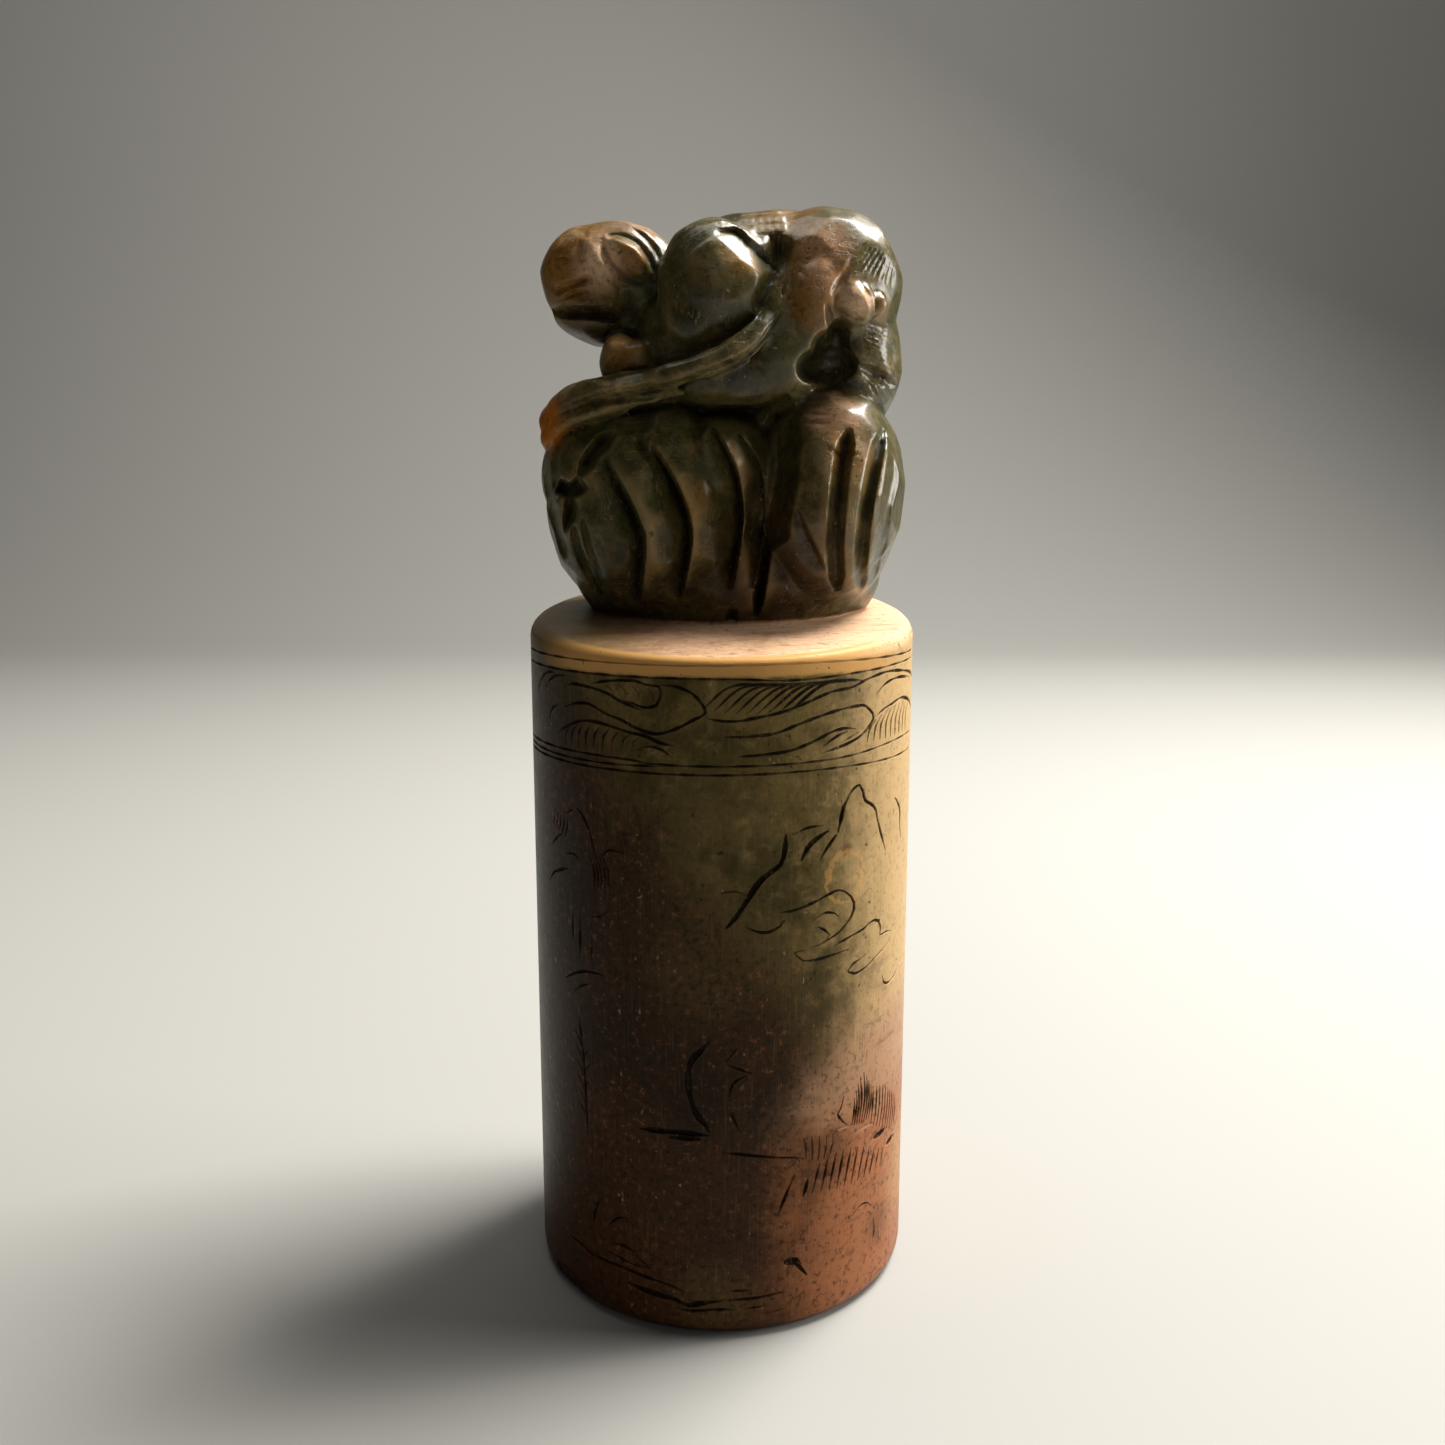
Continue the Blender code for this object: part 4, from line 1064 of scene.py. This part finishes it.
def side_colour(stone):
    """Khaki above, brown at the left and below, redder near the foot, and warm at the right edge, partly
    painted light.
    """
    x, y, z, cloud, mottle, freckle = stone.x, stone.y, stone.z, stone.cloud, stone.mottle, stone.freckle
    broad = stone.noise(stone.place, 13.0, 3.0, 0.55, 0.6)
    lean = x * -0.8 + y.most(0.0) * -0.25 + z * -0.7
    lean = lean + broad * 14 + cloud * 9 + mottle * 4 - 12.2
    side = stone.tinted(OLIVE, KHAKI, cloud + mottle * 0.6, 0.55, 1.0)
    side = stone.tinted(side, TAN, mottle, 0.5, 0.8, 0.25)
    lower = stone.tinted(RED_BROWN, BROWN, z + cloud * 10 + mottle * 5, 8.0, 26.0)
    lower = stone.tinted(lower, RED_BROWN, mottle + freckle * 0.5, 0.74, 1.0, 0.7)
    lower = stone.tinted(lower, KHAKI, cloud + freckle * 0.4, 0.84, 1.0, 0.25)
    side = stone.tinted(side, lower, lean, -27.0, -18.0)
    drift = cloud * 6 + mottle * 3
    warm = stone.tinted(TERRACOTTA, PINK_BROWN, z + drift, 17.5, 23.5)
    # Tan high on the right edge: partly the stone's tone, partly painted light from the side
    warm = stone.tinted(warm, TAN, z + drift, 25.0, 31.0)
    spread_out = stone.ramp(-z, -26.0, -17.0) * 4
    side = stone.tinted(side, warm, x + drift + spread_out, 10.5, 18.0, 0.85)
    side = add_patches(stone, cloud * 0.6 + mottle * 0.5, side, COLUMN_PATCHES)
    specked = 0.3 + stone.ramp(lean, -25.0, -19.0) * 0.35
    side = stone.tinted(side, DARK_BROWN, freckle, 0.50, 0.34, specked)
    side = stone.tinted(side, TERRACOTTA, freckle, 0.56, 0.72, specked - 0.25)
    streaks = stone.noise(stone.stretched(stone.place, (0.22, 0.22, 1.0)), 1.1, 4.0, 0.65)
    streaked = stone.ramp(streaks, 0.56, 0.74) * stone.ramp(-z, -34.0, -22.0)
    side = stone.blend(streaked * 0.4, side, DARK_BROWN)
    stain = (stone.distance(stone.place, STAIN) + mottle * 2.4 - 3.0) ** 2
    return stone.tinted(side, OCHRE, -stain, -0.06, -0.005, 0.35)


def ledge_colour(stone):
    """Pale, smudged along the saw's lines, with green-tinted painted shade at the left, brown against the
    knob.
    """
    x, mottle = stone.x, stone.mottle
    ledge = stone.tinted(CREAM, PINK_BROWN, stone.cloud + mottle * 0.8 - x * 0.02, 0.75, 1.2, 0.8)
    ledge = stone.tinted(ledge, TERRACOTTA, stone.sawn, 0.48, 0.66, 0.6)
    ledge = stone.tinted(ledge, BROWN, stone.freckle + mottle * 0.5, 0.68, 0.55, 0.5)
    # Painted shade, tinted green, over the ledge's left
    ledge = stone.tinted(ledge, KHAKI, -x + mottle * 3, 4.0, 13.0, 0.85)
    return stone.tinted(ledge, BROWN, stone.above_ledge + mottle * 0.4, 0.2, 0.5, 0.8)


def column_colour(stone):
    """The side and the ledge, with an ochre rim between them at the front."""
    column = stone.blend(stone.is_side, ledge_colour(stone), side_colour(stone))
    rim = stone.ramp(stone.z + stone.mottle * 0.6, 49.6, 50.0) * stone.ramp(stone.radius, 13.9, 14.6)
    rim = rim * stone.ramp(-stone.y, 6.0, 12.0)
    return stone.blend(rim * 0.95, column, OCHRE)


def knob_colour(stone):
    """Olive and amber, with painted shade in hollows and paler edges, from wear and a painted highlight."""
    knob = stone.tinted(MOSS, KHAKI, stone.mottle + stone.cloud * 0.5, 0.60, 1.05)
    knob = add_patches(stone, stone.mottle, knob, KNOB_PATCHES)
    knob = stone.tinted(knob, DARK_BROWN, stone.freckle, 0.50, 0.36, 0.45)
    # Painted shade: the deeper the hollow, the darker
    knob = stone.tinted(knob, DIRT_AND_SHADE, stone.hollow, 0.04, 0.5, 0.9)
    # Raised edges paler: partly wear, partly a painted highlight
    return stone.tinted(knob, TAN, -stone.hollow, 0.08, 0.5, 0.3)


def soapstone():
    """Polished soapstone: its colours, dirt and chips in the engraving, specks and fine scratches."""
    stone = Stone()
    place, x, z, is_knob, is_side = stone.place, stone.x, stone.z, stone.is_knob, stone.is_side
    base = stone.blend(is_knob, column_colour(stone), knob_colour(stone))
    engraved = stone.ramp(COLUMN_RADIUS - stone.radius, 0.04, 0.11) * is_side * stone.ramp(z, 1.2, 1.6)
    fresh = stone.ramp(z, 14.0, 14.2) * stone.ramp(-z, -15.4, -15.2) * stone.ramp(x, 7.0, 8.0)
    worn = stone.ramp(stone.mottle + stone.freckle * 0.8, 0.86, 1.15) * 0.45
    base = stone.blend(engraved * (0.97 - worn) * (1 - fresh), base, DIRT_AND_SHADE)
    base = stone.blend(engraved * fresh * 0.6, base, CREAM)
    base = stone.tinted(base, DIRT_AND_SHADE, stone.noise(place, 0.55, 2.0, 0.5), 0.69, 0.74, 0.7)
    pale = stone.noise(stone.stretched(place, (1.0, 1.0, 0.6)), 0.4, 1.0, 0.4)
    base = stone.tinted(base, DUST, pale, 0.75, 0.79, 0.4)
    upright = stone.noise(stone.stretched(place, (1.0, 1.0, 0.045)), 0.16, 2.0, 0.6)
    scratch = upright * is_side + stone.sawn * (1 - is_side)
    base = stone.tinted(base, DUST, scratch, 0.55, 0.8, 0.1)
    hair = hairlines(stone, (0.5, 1.0, 0.06), 0.7).most(hairlines(stone, (0.06, 1.0, 0.35), 0.6))
    base = stone.blend(hair * is_knob * stone.ramp(stone.cloud, 0.4, 0.6) * 0.45, base, DUST)
    stone.feed(stone.surface.inputs["Base Color"], base)

    # Dull in the cuts, and most polished on the beast and the right fruit
    rough = 0.33 + (stone.mottle - 0.5) * 0.2 + stone.ramp(stone.hollow, 0.04, 0.2) * is_knob * 0.3
    rough = rough + engraved * 0.4 + (1 - is_knob) * 0.04
    stone.feed(stone.surface.inputs["Roughness"], rough)
    polish = is_knob * (0.3 + stone.ramp(x + z * 0.4, 22.0, 32.0) * 0.7)
    polish = polish * (0.6 - stone.ramp(stone.hollow, 0.1, 0.5) * 0.4)
    stone.feed(stone.surface.inputs["Coat Weight"], polish)

    worked = stone.noise(place, 0.9, 2.0, 0.5) * 1.6 + knife_facets(stone, 2.0) * 8.0
    height = scratch * 0.4 + stone.noise(place, 0.25, 3.0, 0.6) * 0.2 + stone.mottle * 0.5
    values = {"Height": height + (worked - hair * 1.2) * is_knob, "Strength": 0.35, "Distance": 0.00012}
    stone.feed(stone.surface.inputs["Normal"], stone.node("ShaderNodeBump", {}, values))
    stone.surface.inputs["IOR"].default_value = 1.5
    stone.surface.inputs["Specular IOR Level"].default_value = 0.08
    stone.surface.inputs["Coat Roughness"].default_value = 0.27
    return stone.material


def knife_facets(stone, size):
    """Height of small flat facets, each one tilted its own way."""
    bent = stone.node("ShaderNodeTexNoise", {}, {"Vector": stone.place, "Scale": 0.5 / size}, "Color")
    spot = stone.vector("ADD", stone.place, stone.scaled(bent, size))
    cell = stone.node("ShaderNodeTexVoronoi", {}, {"Vector": spot, "Scale": 1 / size}, "Position")
    tint = Socket(stone, cell.output.node.outputs["Color"])
    away = stone.vector("SUBTRACT", spot, cell)
    tilt = stone.vector("SUBTRACT", tint, (0.5, 0.5, 0.5))
    return stone.vector("DOT_PRODUCT", away, tilt, output="Value") / size


HAIR_WIDTH = 0.006


def hairlines(stone, stretch, size):
    """Thin scratches, 1 on each line: where stretched noise passes its middle value."""
    lines = stone.noise(stone.stretched(stone.place, stretch), size, 2.0, 0.5)
    return 1 - stone.ramp(((lines - 0.5) * (lines - 0.5)) ** 0.5, 0.0, HAIR_WIDTH)


def add_patches(stone, unevenness, base, patches):
    """Blend soft-edged patches of colour into the base, their edges pushed in and out unevenly."""
    for tint, centre, radius, strength in patches:
        reach = stone.distance(stone.place, centre) + (unevenness - 0.5) * radius * 1.3
        share = 1 - stone.ramp(reach, radius * 0.35, radius * 1.1)
        base = stone.blend(share * strength, base, tint)
    return base


def plain(name, tint, roughness):
    shader = Shader(name)
    shader.surface.inputs["Base Color"].default_value = colour(tint)
    shader.surface.inputs["Roughness"].default_value = roughness
    return shader.material


# Stage: a camera at the photograph's angle, with its focal length in the photograph's pixels
CAMERA_TILT = 9.49
FOCAL_PIXELS = 1293
IMAGE_PIXELS = 1445
CENTRE_PIXEL = 721.6
SENSOR_WIDTH = 36


def add_camera():
    bpy.ops.object.camera_add(
        location=FRONT_EYE * MM, rotation=(math.radians(90 - CAMERA_TILT), 0, 0)
    )
    camera = bpy.context.object
    camera.data.sensor_width = SENSOR_WIDTH
    camera.data.lens = SENSOR_WIDTH * FOCAL_PIXELS / IMAGE_PIXELS
    camera.data.shift_x = (IMAGE_PIXELS / 2 - CENTRE_PIXEL) / IMAGE_PIXELS
    camera.data.clip_start = 5 * MM
    bpy.context.scene.camera = camera


# Lights: place, what it points at, width and power in watts
LIGHTS = {
    "window": ((230, 130, 450), (0, 0, 62), 235, 6.8),
    "window_side": ((436, 30, 150), (4, 0, 36), 200, 1.9),
    "soft_front": ((60, -280, 220), (0, 0, 40), 240, 0.08),
    "backdrop_light": ((0, 120, 520), (0, 620, 160), 400, 1.8),
}
LIGHT_TINT = (1.0, 0.96, 0.89)
ROOM_TINT = (1.0, 0.96, 0.90)
ROOM_LIGHT = 0.01


def add_lights():
    for name, (place, target, width, power) in LIGHTS.items():
        way = Vector(place) - Vector(target)
        bpy.ops.object.light_add(
            type="AREA", location=Vector(place) * MM, rotation=way.to_track_quat("Z", "Y").to_euler()
        )
        light = bpy.context.object
        light.name = name
        light.data.size = width * MM
        light.data.energy = power
        light.data.color = LIGHT_TINT
    world = bpy.data.worlds.new("room")
    world.use_nodes = True
    world.node_tree.nodes["Background"].inputs["Color"].default_value = colour(ROOM_TINT)
    world.node_tree.nodes["Background"].inputs["Strength"].default_value = ROOM_LIGHT
    bpy.context.scene.world = world
    bpy.context.scene.view_settings.view_transform = "Standard"


FLOOR_SIZE = 2400
FLOOR_BACK = 700
BACKDROP_HEIGHT = 900
BACKDROP_BEND = 260
BEND_STEPS = 12
FLOOR_TINT = (0.30, 0.30, 0.29)
FLOOR_ROUGHNESS = 0.8


def add_floor():
    """A pale floor that bends up into a backdrop behind the seal."""
    deselect()
    bpy.ops.mesh.primitive_plane_add(size=FLOOR_SIZE, location=(0, FLOOR_BACK - FLOOR_SIZE / 2, 0))
    floor = bpy.context.object
    floor.name = "floor"
    bpy.ops.object.transform_apply()
    back = {corner.index for corner in floor.data.vertices if corner.co.y > 0}
    pick_edges(floor.data, lambda edge: set(edge.vertices) == back)
    with edit_mode():
        bpy.ops.mesh.extrude_region_move(TRANSFORM_OT_translate={"value": (0, 0, BACKDROP_HEIGHT)})
    round_edges(floor, BACKDROP_BEND, BEND_STEPS, lambda edge: set(edge.vertices) == back)
    to_metres(floor)
    bpy.ops.object.shade_smooth()
    floor.data.materials.append(plain("floor", FLOOR_TINT, FLOOR_ROUGHNESS))


SHARP_ANGLE = 38


def make_seal():
    column = make_column()
    engrave(column)
    knob = make_knob()
    finish(column, "BOOLEAN", operation="UNION", object=knob, solver="MANIFOLD")
    bpy.data.objects.remove(knob)
    column.name = "carved_seal"
    to_metres(column)
    bpy.ops.object.shade_smooth_by_angle(angle=math.radians(SHARP_ANGLE))
    column.data.materials.clear()
    column.data.materials.append(soapstone())
    return column


add_camera()
add_lights()
add_floor()
seal = make_seal()
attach(seal, "root")
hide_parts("seal")
